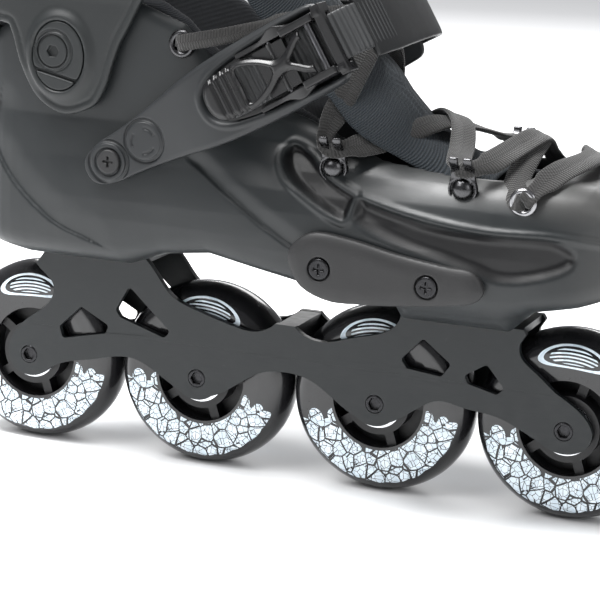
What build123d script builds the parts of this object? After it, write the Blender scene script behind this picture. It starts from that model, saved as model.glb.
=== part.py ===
from math import cos, radians, sin
import os

from build123d import *

# ---------------------------------------------------------------------------
# Driving dimensions, in millimetres. X runs to the toe, +Y to the inner side of
# the foot, Z up. The origin is on the floor under the middle of the wheelbase.
# ---------------------------------------------------------------------------
wheel_diameter = 80.0
wheel_width = 24.0
wheelbase = 243.0
wheel_count = 4

bearing_bore = 8.0
bearing_outside = 22.0
bearing_width = 7.0
spacer_length = 10.25
running_gap = 0.05
race_gap = 0.01

wall_outer = 15.5
wall_thickness = 2.5
lobe_radius = 9.5
rear_deck_height = 90.0
front_deck_height = 80.0
rear_mount_x = -89.0
mount_spacing = 165.0
deck_thickness = 3.0
frame_bolt_radius = 3.0

shell_thickness = 3.5
cuff_thickness = 3.2
pivot_x = -96.0
pivot_height = 179.0
pivot_bush_radius = 7.0
ankle_half_width = 39.5
seat_gap = 0.3

strap_angle = 31.0
strap_width = 30.0
strap_thickness = 3.0
ladder_width = 20.0
ladder_thickness = 1.6
pin_radius = 1.5
lace_radius = 1.5

# ---------------------------------------------------------------------------
# Derived positions shared by several sub-parts.
# ---------------------------------------------------------------------------
wheel_radius = wheel_diameter / 2
axle_height = wheel_radius
axle_pitch = wheelbase / (wheel_count - 1)
axle_positions = [axle_pitch * (i - (wheel_count - 1) / 2) for i in range(wheel_count)]
bearing_span = 2 * bearing_width + spacer_length
ring_centre = bearing_span / 2 - bearing_width / 2
wall_inner = wall_outer - wall_thickness
front_mount_x = rear_mount_x + mount_spacing
mounts = [(rear_mount_x, rear_deck_height), (front_mount_x, front_deck_height)]

os.makedirs("parts", exist_ok=True)


def save(part, name):
    """Label one finished sub-part and write it as a STEP file."""
    part.label = name
    export_step(part, f"parts/{name}.step")


def cross_plane(x, z, y):
    """A plane across the skate whose normal points to the outer side (-Y)."""
    return Plane(origin=(x, y, z), x_dir=(1, 0, 0), z_dir=(0, -1, 0))


# ---------------------------------------------------------------------------
# Wheels: each has a tyre, a hub and two ball bearings.
# ---------------------------------------------------------------------------
hub_barrel_radius = 14.0
hub_rim_radius = 24.0
hub_width = 20.0
spoke_count = 5
ball_count = 7
ball_radius = 1.98
ball_circle = 7.5
inner_land = 5.7
outer_land = 9.3
shield_thickness = 0.4
cage_thickness = 0.8


def ring_section(inner, outer, width):
    """Half section of a ring in the radius/axis plane, centred on the axis origin."""
    with Locations(((inner + outer) / 2, 0)):
        Rectangle(outer - inner, width)


def axis_plane(x, y):
    """Section plane of a wheel part: local X is the radius, local Y runs along the axle."""
    return Plane(origin=(x, y, axle_height), x_dir=(1, 0, 0), z_dir=(0, 0, 1))


for number, x in enumerate(axle_positions, start=1):
    spin = Axis((x, 0, axle_height), (0, 1, 0))

    # Tyre: a bullet-shaped urethane ring with a pocket for the hub rim.
    with BuildPart() as tyre:
        with BuildSketch(axis_plane(x, 0)):
            with BuildLine():
                Polyline((hub_rim_radius, -9.0), (hub_rim_radius - 4, -9.0),
                         (hub_rim_radius - 4, -11.0), (27.0, -wheel_width / 2), (31.0, -wheel_width / 2))
                Spline((31.0, -wheel_width / 2), (wheel_radius, 0), tangents=((1, 0), (0, 1)),
                       tangent_scalars=(1.2, 1.2))
                Spline((wheel_radius, 0), (31.0, wheel_width / 2), tangents=((0, 1), (-1, 0)),
                       tangent_scalars=(1.2, 1.2))
                Polyline((31.0, wheel_width / 2), (27.0, wheel_width / 2), (hub_rim_radius - 4, 11.0),
                         (hub_rim_radius - 4, 9.0), (hub_rim_radius, 9.0), (hub_rim_radius, -9.0))
            make_face()
        revolve(axis=spin)
    save(tyre.part, f"wheel_{number}_tyre")

    # Hub: a bored barrel, a rim and spokes with open pockets between them.
    with BuildPart() as hub:
        with BuildSketch(axis_plane(x, 0)):
            ring_section(bearing_bore, hub_barrel_radius, bearing_span - 1.0)
            ring_section(hub_rim_radius - 4, hub_rim_radius, hub_width - 2.0)
            ring_section(hub_barrel_radius - 1, hub_rim_radius - 3, 3.0)
        revolve(axis=spin)
        with BuildSketch(cross_plane(x, axle_height, 0)):
            with PolarLocations((hub_barrel_radius + hub_rim_radius - 4) / 2, spoke_count):
                Rectangle(hub_rim_radius - 2 - hub_barrel_radius, 4.0)
        extrude(amount=hub_width / 2 - 2, both=True)
        with Locations(*[axis_plane(x, side * (ring_centre + 0.5)) for side in (-1, 1)]):
            Cylinder(bearing_outside / 2, bearing_width + 1.0, rotation=(90, 0, 0), mode=Mode.SUBTRACT)
        with Locations(axis_plane(x, 0)):
            Cylinder(bearing_outside / 2 - 1, bearing_span, rotation=(90, 0, 0), mode=Mode.SUBTRACT)
    save(hub.part, f"wheel_{number}_hub")

    # Outer bearing rings, with the ball groove cut to the ball radius.
    with BuildPart() as outer_rings:
        for side in (-1, 1):
            with BuildSketch(axis_plane(x, side * ring_centre)):
                ring_section(outer_land, bearing_outside / 2, bearing_width)
                with Locations((ball_circle, 0)):
                    Circle(ball_radius + race_gap, mode=Mode.SUBTRACT)
            revolve(axis=spin)
    save(outer_rings.part, f"wheel_{number}_bearing_outer_rings")

    # Balls of both bearings.
    with BuildPart() as balls:
        for side in (-1, 1):
            with Locations(cross_plane(x, axle_height, side * ring_centre)):
                with PolarLocations(ball_circle, ball_count):
                    Sphere(ball_radius)
    save(balls.part, f"wheel_{number}_bearing_balls")

    # Cages: a ring with a round pocket for every ball.
    with BuildPart() as cages:
        for side in (-1, 1):
            with BuildSketch(axis_plane(x, side * (ring_centre + 1.6))):
                ring_section(ball_circle - 1.2, ball_circle + 1.2, cage_thickness)
            revolve(axis=spin)
            with Locations(cross_plane(x, axle_height, side * ring_centre)):
                with PolarLocations(ball_circle, ball_count):
                    Sphere(ball_radius + running_gap, mode=Mode.SUBTRACT)
    save(cages.part, f"wheel_{number}_bearing_cages")

    # Shields close both sides of each bearing and clear the inner ring.
    with BuildPart() as shields:
        for side in (-1, 1):
            for face in (-1, 1):
                shield_y = side * ring_centre + face * (bearing_width / 2 - shield_thickness)
                with BuildSketch(axis_plane(x, shield_y)):
                    ring_section(inner_land + 3 * running_gap, outer_land, shield_thickness)
                revolve(axis=spin)
    save(shields.part, f"wheel_{number}_bearing_shields")

# ---------------------------------------------------------------------------
# Axle parts that stay with the chassis.
# ---------------------------------------------------------------------------
axle_head_radius = 6.0
axle_head_height = 0.9

with BuildPart() as inner_rings:
    for x in axle_positions:
        spin = Axis((x, 0, axle_height), (0, 1, 0))
        for side in (-1, 1):
            with BuildSketch(axis_plane(x, side * ring_centre)):
                ring_section(bearing_bore / 2, inner_land, bearing_width)
                with Locations((ball_circle, 0)):
                    Circle(ball_radius + running_gap, mode=Mode.SUBTRACT)
            revolve(axis=spin)
save(inner_rings.part, "bearing_inner_rings")

with BuildPart() as spacers:
    for x in axle_positions:
        with BuildSketch(axis_plane(x, 0)):
            ring_section(bearing_bore / 2, inner_land - 0.2, spacer_length)
        revolve(axis=Axis((x, 0, axle_height), (0, 1, 0)))
save(spacers.part, "bearing_spacers")

with BuildPart() as axles:
    for x in axle_positions:
        with Locations(cross_plane(x, axle_height, 0)):
            Cylinder(bearing_bore / 2, 2 * wall_outer)
        with BuildSketch(cross_plane(x, axle_height, -wall_outer)):
            Circle(axle_head_radius)
            RegularPolygon(2.9, 6, major_radius=True, mode=Mode.SUBTRACT)
        extrude(amount=axle_head_height)
        with BuildSketch(cross_plane(x, axle_height, -wall_outer + 3.0)):
            RegularPolygon(2.9, 6, major_radius=True)
        extrude(amount=3.0, mode=Mode.SUBTRACT)
save(axles.part, "axles")

# ---------------------------------------------------------------------------
# Chassis: two windowed walls joined by three bridges.
# ---------------------------------------------------------------------------
rear_deck = (-112.0, -66.0)
front_deck = (50.5, 102.5)
wall_windows = [
    [(-96.0, 65.0), (-106.5, 54.6), (-105.0, 49.5), (-84.0, 54.3), (-82.4, 58.0)],
    [(-73.0, 76.7), (-79.2, 65.5), (-77.0, 62.5), (-56.0, 56.0), (-53.2, 59.0)],
    [(60.5, 71.0), (51.3, 61.0), (54.0, 57.4), (69.0, 55.9), (73.0, 61.5)],
    [(88.2, 63.6), (78.8, 57.8), (80.4, 54.3), (92.8, 51.4), (96.0, 54.3)],
]
window_corner = 1.6
step_height = 54.5
step_thickness = 0.5


def lobe(x, start, end):
    """Rounded foot of the wall under one axle."""
    return ThreePointArc((x + start, 33.0), (x, axle_height - lobe_radius), (x + end, 33.0))


rear_axle_x, second_axle_x, third_axle_x, front_axle_x = axle_positions

with BuildSketch() as wall_profile:
    with BuildLine():
        Line((rear_deck[0], rear_deck_height), (rear_deck[1], rear_deck_height))
        Spline((rear_deck[1], rear_deck_height), (-59.0, 82.0), (-52.6, 74.8), (-43.6, 70.8),
               (-25.5, 65.7), (-14.5, 64.2), (-5.0, 68.7))
        Line((-5.0, 68.7), (4.0, 68.7))
        Spline((4.0, 68.7), (11.0, 64.2), (19.0, 64.0), (30.0, 67.2), (42.0, 70.6), (47.5, 74.0),
               (front_deck[0], front_deck_height))
        Line((front_deck[0], front_deck_height), (front_deck[1], front_deck_height))
        Polyline((front_deck[1], front_deck_height), (103.8, 78.0), (101.4, 74.0))
        Spline((101.4, 74.0), (102.5, 68.0), (108.3, 63.0), (118.0, 55.2), (127.5, 49.0), (133.2, 41.0),
               (front_axle_x + 8.6, 33.0))
        lobe(front_axle_x, 8.6, -8.0)
        Spline((front_axle_x - 8.0, 33.0), (104.0, 37.8), (92.5, 42.2), (79.4, 43.8), (67.8, 45.2),
               (58.5, 40.2), (third_axle_x + 7.0, 33.0))
        lobe(third_axle_x, 7.0, -7.0)
        Spline((third_axle_x - 7.0, 33.0), (26.0, 37.0), (10.0, 46.8), (0.0, 48.2), (-10.0, 46.8),
               (-19.0, 41.7), (second_axle_x + 7.0, 33.0))
        lobe(second_axle_x, 7.0, -7.0)
        Spline((second_axle_x - 7.0, 33.0), (-56.0, 37.8), (-71.0, 44.8), (-92.0, 41.4),
               (-104.0, 38.6), (rear_axle_x + 8.0, 33.0))
        lobe(rear_axle_x, 8.0, -7.0)
        Spline((rear_axle_x - 7.0, 33.0), (-131.5, 41.0), (-130.3, 46.3), (-122.0, 56.4), (-109.6, 69.0),
               (-109.6, 73.0), (-113.4, 77.5), (-118.0, 81.8))
        Line((-118.0, 81.8), (rear_deck[0], rear_deck_height))
    make_face()
    for corners in wall_windows:
        with BuildSketch(mode=Mode.PRIVATE) as window:
            with BuildLine():
                Polyline(*corners, close=True)
            make_face()
            fillet(window.vertices(), window_corner)
        add(window.sketch, mode=Mode.SUBTRACT)

with BuildPart() as chassis:
    for inner_face in (wall_inner, -wall_outer):
        with BuildSketch(Plane.XZ.offset(inner_face)):
            add(wall_profile.sketch)
        extrude(amount=wall_thickness)
    # The upper part of each wall is a little thicker than the lower part.
    for outer_face in (wall_outer, -wall_outer - step_thickness):
        with BuildSketch(Plane.XZ.offset(outer_face)):
            add(wall_profile.sketch)
            with Locations((0, step_height)):
                Rectangle(2 * wheelbase, wheelbase, align=(Align.CENTER, Align.MIN), mode=Mode.INTERSECT)
        extrude(amount=step_thickness)
    # Bearing pads that clamp the inner rings.
    for x in axle_positions:
        for side in (-1, 1):
            with Locations(cross_plane(x, axle_height, side * (bearing_span / 2 + wall_inner) / 2)):
                Cylinder(inner_land - 0.3, wall_inner - bearing_span / 2)
    # Decks under the boot and the bridge between the middle wheels.
    with Locations(((rear_deck[0] + rear_deck[1]) / 2, 0, rear_deck_height)):
        Box(rear_deck[1] - rear_deck[0], 2 * wall_inner, deck_thickness,
            align=(Align.CENTER, Align.CENTER, Align.MAX))
    with Locations((front_mount_x + 5.0, 0, front_deck_height)):
        Box(42.0, 2 * wall_inner, deck_thickness, align=(Align.CENTER, Align.CENTER, Align.MAX))
    with Locations((0, 0, 65.0)):
        Box(9.0, 2 * wall_inner, 7.0)
    for mount_x, deck in mounts:
        with Locations((mount_x, 0, deck - deck_thickness / 2)):
            Cylinder(frame_bolt_radius, deck_thickness * 2, mode=Mode.SUBTRACT)
    for x in axle_positions:
        with Locations(cross_plane(x, axle_height, 0)):
            Cylinder(bearing_bore / 2, 4 * wall_outer, mode=Mode.SUBTRACT)
save(chassis.part, "chassis")

# ---------------------------------------------------------------------------
# Frame bolts, washers and the threaded inserts held in the boot sole.
# ---------------------------------------------------------------------------
washer_thickness = 1.2
bolt_head_radius = 5.5
bolt_head_height = 3.2
insert_radius = 5.5
insert_length = 8.0

with BuildPart() as washers:
    for mount_x, deck in mounts:
        with BuildSketch(Plane.XY.offset(deck - deck_thickness - washer_thickness)):
            with Locations((mount_x, 0)):
                Circle(bolt_head_radius + 1.5)
                Circle(frame_bolt_radius, mode=Mode.SUBTRACT)
        extrude(amount=washer_thickness)
save(washers.part, "mount_washers")

with BuildPart() as inserts:
    for mount_x, deck in mounts:
        with BuildSketch(Plane.XY.offset(deck)):
            with Locations((mount_x, 0)):
                Circle(insert_radius)
                Circle(frame_bolt_radius, mode=Mode.SUBTRACT)
        extrude(amount=insert_length)
save(inserts.part, "mount_inserts")

for (mount_x, deck), name in zip(mounts, ("rear", "front")):
    seat = deck - deck_thickness - washer_thickness
    with BuildPart() as frame_bolt:
        with BuildSketch(Plane.XY.offset(seat)):
            with Locations((mount_x, 0)):
                Circle(frame_bolt_radius)
        extrude(amount=deck_thickness + washer_thickness + insert_length - 1.0)
        with BuildSketch(Plane.XY.offset(seat - bolt_head_height)):
            with Locations((mount_x, 0)):
                Circle(bolt_head_radius)
                RegularPolygon(2.9, 6, major_radius=True, mode=Mode.SUBTRACT)
        extrude(amount=bolt_head_height - 1.0)
        with BuildSketch(Plane.XY.offset(seat - 1.0)):
            with Locations((mount_x, 0)):
                Circle(bolt_head_radius)
        extrude(amount=1.0)
    save(frame_bolt.part, f"{name}_frame_bolt")

# ---------------------------------------------------------------------------
# Boot: every hollow piece is the shape common to a side, a top and a front
# outline, so the same outlines drawn smaller give its inside.
# ---------------------------------------------------------------------------
boot_reach = 400.0
cut_from = 20.0
cut_to = 70.0
sole_height = 88.0


def shrunk(points, distance):
    """Counter-clockwise outline moved inward by a distance at each of its points."""
    moved = []
    for before, here, after in zip(points[-1:] + points[:-1], points, points[1:] + points[:1]):
        along = (Vector(*after) - Vector(*before)).normalized()
        moved.append((here[0] - along.Y * distance, here[1] + along.X * distance))
    return moved


def three_view(side_points, top_points, front_points, shrink=0.0):
    """Solid common to a side (X,Z), a top (X,Y) and a front (Y,Z) outline.

    The top and front outlines are drawn smaller by shrink to make an inside.
    """
    with BuildPart(mode=Mode.PRIVATE) as body:
        with BuildSketch(Plane.XZ):
            with BuildLine():
                Polyline(*side_points, close=True)
            make_face()
        extrude(amount=boot_reach, both=True)
        with BuildSketch(Plane.XY):
            with BuildLine():
                Spline(*shrunk(top_points, shrink), periodic=True)
            make_face()
        extrude(amount=boot_reach, mode=Mode.INTERSECT)
        with BuildSketch(Plane.YZ):
            with BuildLine():
                outer_edge = [(y + shrink, z) for y, z in front_points]
                inner_edge = [(-y, z) for y, z in reversed(outer_edge)]
                Polyline(*outer_edge, *inner_edge, close=True)
            make_face()
        extrude(amount=boot_reach, both=True, mode=Mode.INTERSECT)
    return body.part


foot_outline = [(-143.0, 0.0), (-133.0, -31.0), (-100.0, -41.5), (-50.0, -43.0), (0.0, -46.0), (60.0, -49.5),
                (110.0, -44.0), (145.0, -28.0), (160.0, 5.0), (148.0, 32.0), (110.0, 45.0), (60.0, 49.5),
                (0.0, 46.0), (-50.0, 43.0), (-100.0, 41.5), (-133.0, 31.0)]
ankle_front = [(-30.0, 78.0), (-34.0, 88.0), (-44.0, 98.0), (-49.0, 110.0), (-49.0, 118.0), (-42.0, 136.0),
               (-ankle_half_width, 150.0), (-ankle_half_width, 260.0)]
forefoot_front = [(-30.0, 78.0), (-34.0, 88.0), (-44.0, 98.0), (-49.0, 110.0), (-49.0, 118.0), (-46.0, 127.0),
                  (-40.0, 135.0), (-33.0, 142.0), (-27.0, 150.0), (-22.0, 260.0)]
ankle_end = -12.0
shell_side = [(rear_deck[0], rear_deck_height), (rear_deck[1], rear_deck_height), (-50.0, 97.0), (-27.0, 100.0),
              (5.0, 94.0), (31.0, 88.0), (front_deck[0], sole_height),
              (front_deck[0] + 2, front_deck_height), (front_deck[1], front_deck_height),
              (108.0, 92.0), (130.0, 97.0), (150.0, 103.0), (162.0, 115.0), (158.0, 127.0), (145.0, 137.0),
              (129.0, 143.0), (109.0, 146.0), (73.0, 147.0), (43.0, 148.0), (17.0, 158.0), (-12.0, 170.0),
              (-40.0, 198.0), (-62.0, 205.0), (-115.0, 205.0), (-128.0, 188.0), (-145.0, 186.0),
              (-147.0, 105.0), (-135.0, 93.0)]
cavity_side = [(-150.0, 108.0), (-125.0, 101.0), (rear_deck[1], 101.0), (-34.0, 106.0), (5.0, 102.0),
               (50.0, 98.0), (120.0, 99.0), (146.0, 106.0), (158.0, 115.0), (154.0, 125.0), (143.0, 133.0),
               (128.0, 139.0), (112.0, 141.5), (108.0, 170.0), (-20.0, 240.0), (-150.0, 240.0)]
slider_outline = [(13.0, 113.0), (28.0, 118.0), (59.0, 113.0), (88.0, 109.0), (94.0, 102.0),
                  (88.0, 96.0), (61.0, 92.0), (31.0, 90.0), (15.0, 99.0)]
slider_screws_at = [(27.0, 103.0), (72.0, 101.0)]
slider_seat = 47.0
slider_thickness = 3.5
slider_screw_depth = 1.2
slider_screw_radius = 2.0
slider_head_radius = 4.2
slider_head_height = 1.2

anchor_screw_at = (-70.0, 135.0)
anchor_disc_at = (-54.5, 145.5)
anchor_screw_radius = 2.0
anchor_pad_radius = 8.5
anchor_disc_radius = 7.5
# Lace hooks and eyelets: X, Z and the Y of the face they sit on.
hooks_at = [(26.5, 142.0, 34.0), (82.0, 139.5, 36.0)]
eyelets_at = [(-40.0, 186.0, ankle_half_width), (106.0, 136.5, 40.0)]
hook_stem_radius = 1.6
hook_flange_radius = 4.0
hook_ball_radius = 3.0
hook_reach = 9.5
hook_inside = 4.5
eyelet_bore_radius = 3.0
eyelet_barrel_radius = 4.0
eyelet_flange_radius = 5.2
eyelet_flange = 1.0


def flat_outline(points, grow=0.0):
    """Closed outline of (X, Z) points, drawn in the side view."""
    with BuildSketch(mode=Mode.PRIVATE) as outline:
        with BuildLine():
            Polyline(*points, close=True)
        make_face()
        if grow:
            offset(amount=grow)
    return outline.sketch


def slab(outline, y_from, y_to):
    """Solid made by pushing a side-view outline from one Y position to another."""
    with BuildPart(mode=Mode.PRIVATE) as body:
        with BuildSketch(Plane.XZ.offset(-max(y_from, y_to))):
            add(outline)
        extrude(amount=abs(y_to - y_from))
    return body.part


def rod(x, z, radius, y_from, y_to, inner_radius=0.0):
    """Round bar or tube that runs across the skate."""
    with BuildPart(mode=Mode.PRIVATE) as body:
        with BuildSketch(Plane.XZ.offset(-max(y_from, y_to))):
            with Locations((x, z)):
                Circle(radius)
                if inner_radius:
                    Circle(inner_radius, mode=Mode.SUBTRACT)
        extrude(amount=abs(y_to - y_from))
    return body.part


# ---------------------------------------------------------------------------
# Buckled straps. Both closures share one layout, drawn in a strap plane: local
# X runs along the strap, local Y is the world Y and local Z is the strap width.
# ---------------------------------------------------------------------------
base_start = 46.0
base_end = 106.0
base_thickness = 2.0
cheek_thickness = 1.8
cheek_start = 76.0
ladder_gap = 0.4
lever_pivot = 100.0
pawl_pivot = 82.0
lever_thickness = 2.6
lever_tip = 48.5
barrel_radius = 2.8
tooth_pitch = 4.0
tooth_height = 0.9
ladder_start = 52.0


def strap_plane(x, z, angle):
    """Plane of a strap loop whose origin is over the anchor point."""
    along = Vector(cos(radians(angle)), 0, sin(radians(angle)))
    return Plane(origin=(x, 0, z), x_dir=along, z_dir=Vector(-along.Z, 0, along.X))


def band(plane, shape_points, width, low=None):
    """Closed strap-plane outline pushed evenly to both sides of the plane."""
    with BuildPart(mode=Mode.PRIVATE) as body:
        with BuildSketch(plane.offset(-width / 2 if low is None else low)):
            with BuildLine():
                Polyline(*shape_points, close=True)
            make_face()
        extrude(amount=width)
    return body.part


def block(plane, x_from, x_to, y_from, y_to, width, low=None):
    """Rectangular piece of a strap or a buckle."""
    return band(plane, [(x_from, y_from), (x_to, y_from), (x_to, y_to), (x_from, y_to)], width, low)


# Instep closure: where its strap lies against the shell.
instep_plane = strap_plane(-62.0, 140.0, strap_angle)
shell_side_at_strap = 43.0
strap_face = shell_side_at_strap + strap_thickness
strap_start = -16.0
strap_end = 104.0
inner_strap_end = 100.0


def foot_body(side_outline, shrink=0.0):
    """Foot-shaped solid: a low forefoot joined to a taller ankle."""
    with BuildPart(mode=Mode.PRIVATE) as ankle:
        add(three_view(side_outline, foot_outline, ankle_front, shrink))
        with Locations((ankle_end - shrink, 0, 0)):
            Box(boot_reach, boot_reach, 2 * boot_reach, align=(Align.MAX, Align.CENTER, Align.CENTER),
                mode=Mode.INTERSECT)
    with BuildPart(mode=Mode.PRIVATE) as body:
        add(three_view(side_outline, foot_outline, forefoot_front, shrink))
        add(ankle.part)
    return body.part


SIDES = (-1, 1)
slider_shape = flat_outline(slider_outline)
slider_seat_shape = flat_outline(slider_outline, seat_gap)

with BuildPart() as shell:
    add(foot_body(shell_side))
    add(foot_body(cavity_side, shell_thickness), mode=Mode.SUBTRACT)
    for side in SIDES:
        # Flat seat for the slider plate and the holes of its screws.
        add(slab(slider_seat_shape, side * slider_seat, side * cut_to), mode=Mode.SUBTRACT)
        for x, z in slider_screws_at:
            add(rod(x, z, slider_screw_radius, side * (slider_seat - 5.0), side * cut_to),
                mode=Mode.SUBTRACT)
        # Flat seat under the instep strap.
        add(block(instep_plane, strap_start - seat_gap, strap_end + strap_width, side * shell_side_at_strap,
                  side * cut_to, strap_width + 2 * seat_gap), mode=Mode.SUBTRACT)
        # Flat seats and holes for the lace hooks and eyelets.
        for x, z, face in hooks_at:
            add(rod(x, z, hook_flange_radius + seat_gap, side * face, side * cut_to), mode=Mode.SUBTRACT)
            add(rod(x, z, hook_stem_radius, side * cut_from, side * cut_to), mode=Mode.SUBTRACT)
        for x, z, face in eyelets_at:
            add(rod(x, z, eyelet_flange_radius + seat_gap, side * face, side * cut_to), mode=Mode.SUBTRACT)
            add(rod(x, z, eyelet_barrel_radius, side * cut_from, side * cut_to), mode=Mode.SUBTRACT)
        # Holes for the cuff pivot bush and the strap screw.
        add(rod(pivot_x, pivot_height, pivot_bush_radius, side * cut_from, side * cut_to), mode=Mode.SUBTRACT)
        add(rod(*anchor_screw_at, anchor_screw_radius, side * cut_from, side * cut_to), mode=Mode.SUBTRACT)
    for mount_x, deck in mounts:
        with Locations((mount_x, 0, deck)):
            Cylinder(insert_radius, insert_length, align=(Align.CENTER, Align.CENTER, Align.MIN),
                     mode=Mode.SUBTRACT)
save(shell.part, "shell")

# Slider plates on both sides of the ball of the foot, and their screws.
for side, name in zip(SIDES, ("outer", "inner")):
    with BuildPart() as slider:
        add(slab(slider_shape, side * slider_seat, side * (slider_seat + slider_thickness)))
        for x, z in slider_screws_at:
            add(rod(x, z, slider_screw_radius, side * slider_seat, side * cut_to), mode=Mode.SUBTRACT)
    save(slider.part, f"{name}_slider")

with BuildPart() as slider_screws:
    for side in SIDES:
        for x, z in slider_screws_at:
            face = slider_seat + slider_thickness
            add(rod(x, z, slider_screw_radius, side * (slider_seat - slider_screw_depth), side * face))
            add(rod(x, z, slider_head_radius, side * face, side * (face + slider_head_height)))
save(slider_screws.part, "slider_screws")

# ---------------------------------------------------------------------------
# Cuff, hinged at both ankles, with its bushes, screws and nuts.
# ---------------------------------------------------------------------------
cuff_gap = 1.2
cuff_inner_half = ankle_half_width + cuff_gap
cuff_outer_half = cuff_inner_half + cuff_thickness
cuff_flare = 3.2
cuff_side = [(-150.0, 190.0), (-122.0, 188.0), (-112.0, 172.0), (-104.0, 160.0), (-92.0, 152.0), (-80.0, 158.0),
             (-71.0, 174.0), (-66.0, 190.0), (-57.0, 206.0), (-40.0, 232.0), (-28.0, 262.0), (-24.0, 286.0),
             (-34.0, 297.0), (-80.0, 303.0), (-135.0, 301.0), (-152.0, 292.0)]
cuff_top_view = [(-146.0, 0.0), (-138.0, -33.0), (-112.0, -47.5), (-60.0, -49.5), (-20.0, -46.0), (10.0, -34.0),
                 (22.0, 0.0), (10.0, 34.0), (-20.0, 46.0), (-60.0, 49.5), (-112.0, 47.5), (-138.0, 33.0)]
cuff_front = [(-cuff_outer_half, 140.0), (-cuff_outer_half, 200.0), (-cuff_outer_half - cuff_flare, 240.0),
              (-cuff_outer_half - cuff_flare, 310.0)]
cuff_space = [(-160.0, 130.0), (60.0, 130.0), (60.0, 320.0), (-160.0, 320.0)]
cuff_opening = [(-24.0, 130.0), (60.0, 130.0), (60.0, 320.0), (-24.0, 320.0)]
pivot_screw_radius = 3.0
pivot_head_radius = 10.0
pivot_head_height = 1.6
pivot_nut_radius = 8.0
pivot_nut_thickness = 2.0

with BuildPart() as cuff:
    add(three_view(cuff_side, cuff_top_view, cuff_front))
    add(three_view(cuff_space, cuff_top_view, cuff_front, shrink=cuff_thickness), mode=Mode.SUBTRACT)
    add(slab(flat_outline(cuff_opening), -cut_to, cut_to), mode=Mode.SUBTRACT)
    for side in SIDES:
        add(rod(pivot_x, pivot_height, pivot_bush_radius + running_gap, side * cut_from, side * cut_to),
            mode=Mode.SUBTRACT)
save(cuff.part, "cuff")

with BuildPart() as pivot_bushes:
    for side in SIDES:
        add(rod(pivot_x, pivot_height, pivot_bush_radius, side * (ankle_half_width - shell_thickness),
                side * (cuff_outer_half + seat_gap), pivot_screw_radius))
save(pivot_bushes.part, "cuff_pivot_bushes")

with BuildPart() as pivot_screws:
    for side in SIDES:
        head = cuff_outer_half + seat_gap
        add(rod(pivot_x, pivot_height, pivot_screw_radius, side * (ankle_half_width - shell_thickness - 1.5),
                side * head))
        add(rod(pivot_x, pivot_height, pivot_head_radius, side * head, side * (head + pivot_head_height)))
    for side in SIDES:
        with BuildSketch(Plane.XZ.offset(side * (cuff_outer_half + seat_gap + pivot_head_height))):
            with Locations((pivot_x, pivot_height)):
                RegularPolygon(3.5, 6, major_radius=True)
        extrude(amount=-side * 1.2, mode=Mode.SUBTRACT)
save(pivot_screws.part, "cuff_pivot_screws")

with BuildPart() as pivot_nuts:
    for side in SIDES:
        inside = ankle_half_width - shell_thickness
        add(rod(pivot_x, pivot_height, pivot_nut_radius, side * (inside - pivot_nut_thickness), side * inside,
                pivot_screw_radius))
save(pivot_nuts.part, "cuff_pivot_nuts")

# ---------------------------------------------------------------------------
# Padding: footbed, liner, its collar and the tongue.
# ---------------------------------------------------------------------------
pad_gap = shell_thickness + seat_gap
liner_thickness = 5.0
footbed_side = [(-150.0, 108.3), (-125.0, 101.3), (rear_deck[1], 101.3), (-34.0, 106.3), (5.0, 102.3),
                (50.0, 98.3), (120.0, 99.5), (140.0, 105.2), (138.0, 107.3), (120.0, 103.3), (50.0, 102.3),
                (5.0, 106.3), (-34.0, 110.3), (rear_deck[1], 105.3), (-125.0, 105.3), (-150.0, 112.3)]
liner_side = [(-150.0, 112.6), (-125.0, 105.6), (rear_deck[1], 105.6), (-34.0, 110.6), (5.0, 106.6),
              (50.0, 102.6), (120.0, 103.6), (138.0, 107.6), (150.0, 111.0), (156.0, 116.0), (152.0, 124.0),
              (141.0, 131.0), (126.0, 136.0), (106.0, 138.5), (92.0, 139.0), (43.0, 141.5), (15.0, 156.0),
              (-14.0, 172.0), (-40.0, 196.0), (-50.0, 202.5), (-150.0, 202.5)]
liner_space_side = [(-150.0, 118.0), (-125.0, 110.6), (rear_deck[1], 110.6), (-34.0, 115.6), (5.0, 111.6),
                    (50.0, 107.6), (120.0, 108.6), (136.0, 112.0), (148.0, 118.0), (137.0, 127.0),
                    (122.0, 132.0), (100.0, 135.5), (88.0, 170.0), (-20.0, 260.0), (-150.0, 260.0)]
collar_side = [(-150.0, 207.0), (-60.0, 211.0), (-50.0, 216.0), (-34.0, 240.0), (-27.0, 265.0), (-27.0, 300.0),
               (-34.0, 305.0), (-80.0, 310.0), (-135.0, 308.0), (-150.0, 300.0)]

with BuildPart() as footbed:
    add(foot_body(footbed_side, pad_gap))
save(footbed.part, "footbed")

with BuildPart() as liner:
    add(foot_body(liner_side, pad_gap))
    add(foot_body(liner_space_side, pad_gap + liner_thickness), mode=Mode.SUBTRACT)
    for side in SIDES:
        add(rod(pivot_x, pivot_height, pivot_nut_radius + 1.0,
                side * (ankle_half_width - shell_thickness - pivot_nut_thickness - 0.5), side * cut_to),
            mode=Mode.SUBTRACT)
        for x, z, face in hooks_at:
            add(rod(x, z, hook_stem_radius + 0.5, side * (face - hook_inside - 0.5), side * cut_to),
                mode=Mode.SUBTRACT)
        for x, z, face in eyelets_at:
            add(rod(x, z, eyelet_barrel_radius + 0.5, side * (face - shell_thickness - 0.5), side * cut_to),
                mode=Mode.SUBTRACT)
        add(rod(*anchor_screw_at, anchor_screw_radius + 0.5, side * cut_from, side * cut_to), mode=Mode.SUBTRACT)
save(liner.part, "liner")

with BuildPart() as collar:
    add(three_view(collar_side, cuff_top_view, cuff_front, shrink=cuff_thickness + seat_gap))
    add(three_view(cuff_space, cuff_top_view, cuff_front, shrink=cuff_thickness + 2 * liner_thickness),
        mode=Mode.SUBTRACT)
save(collar.part, "liner_collar")

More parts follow.
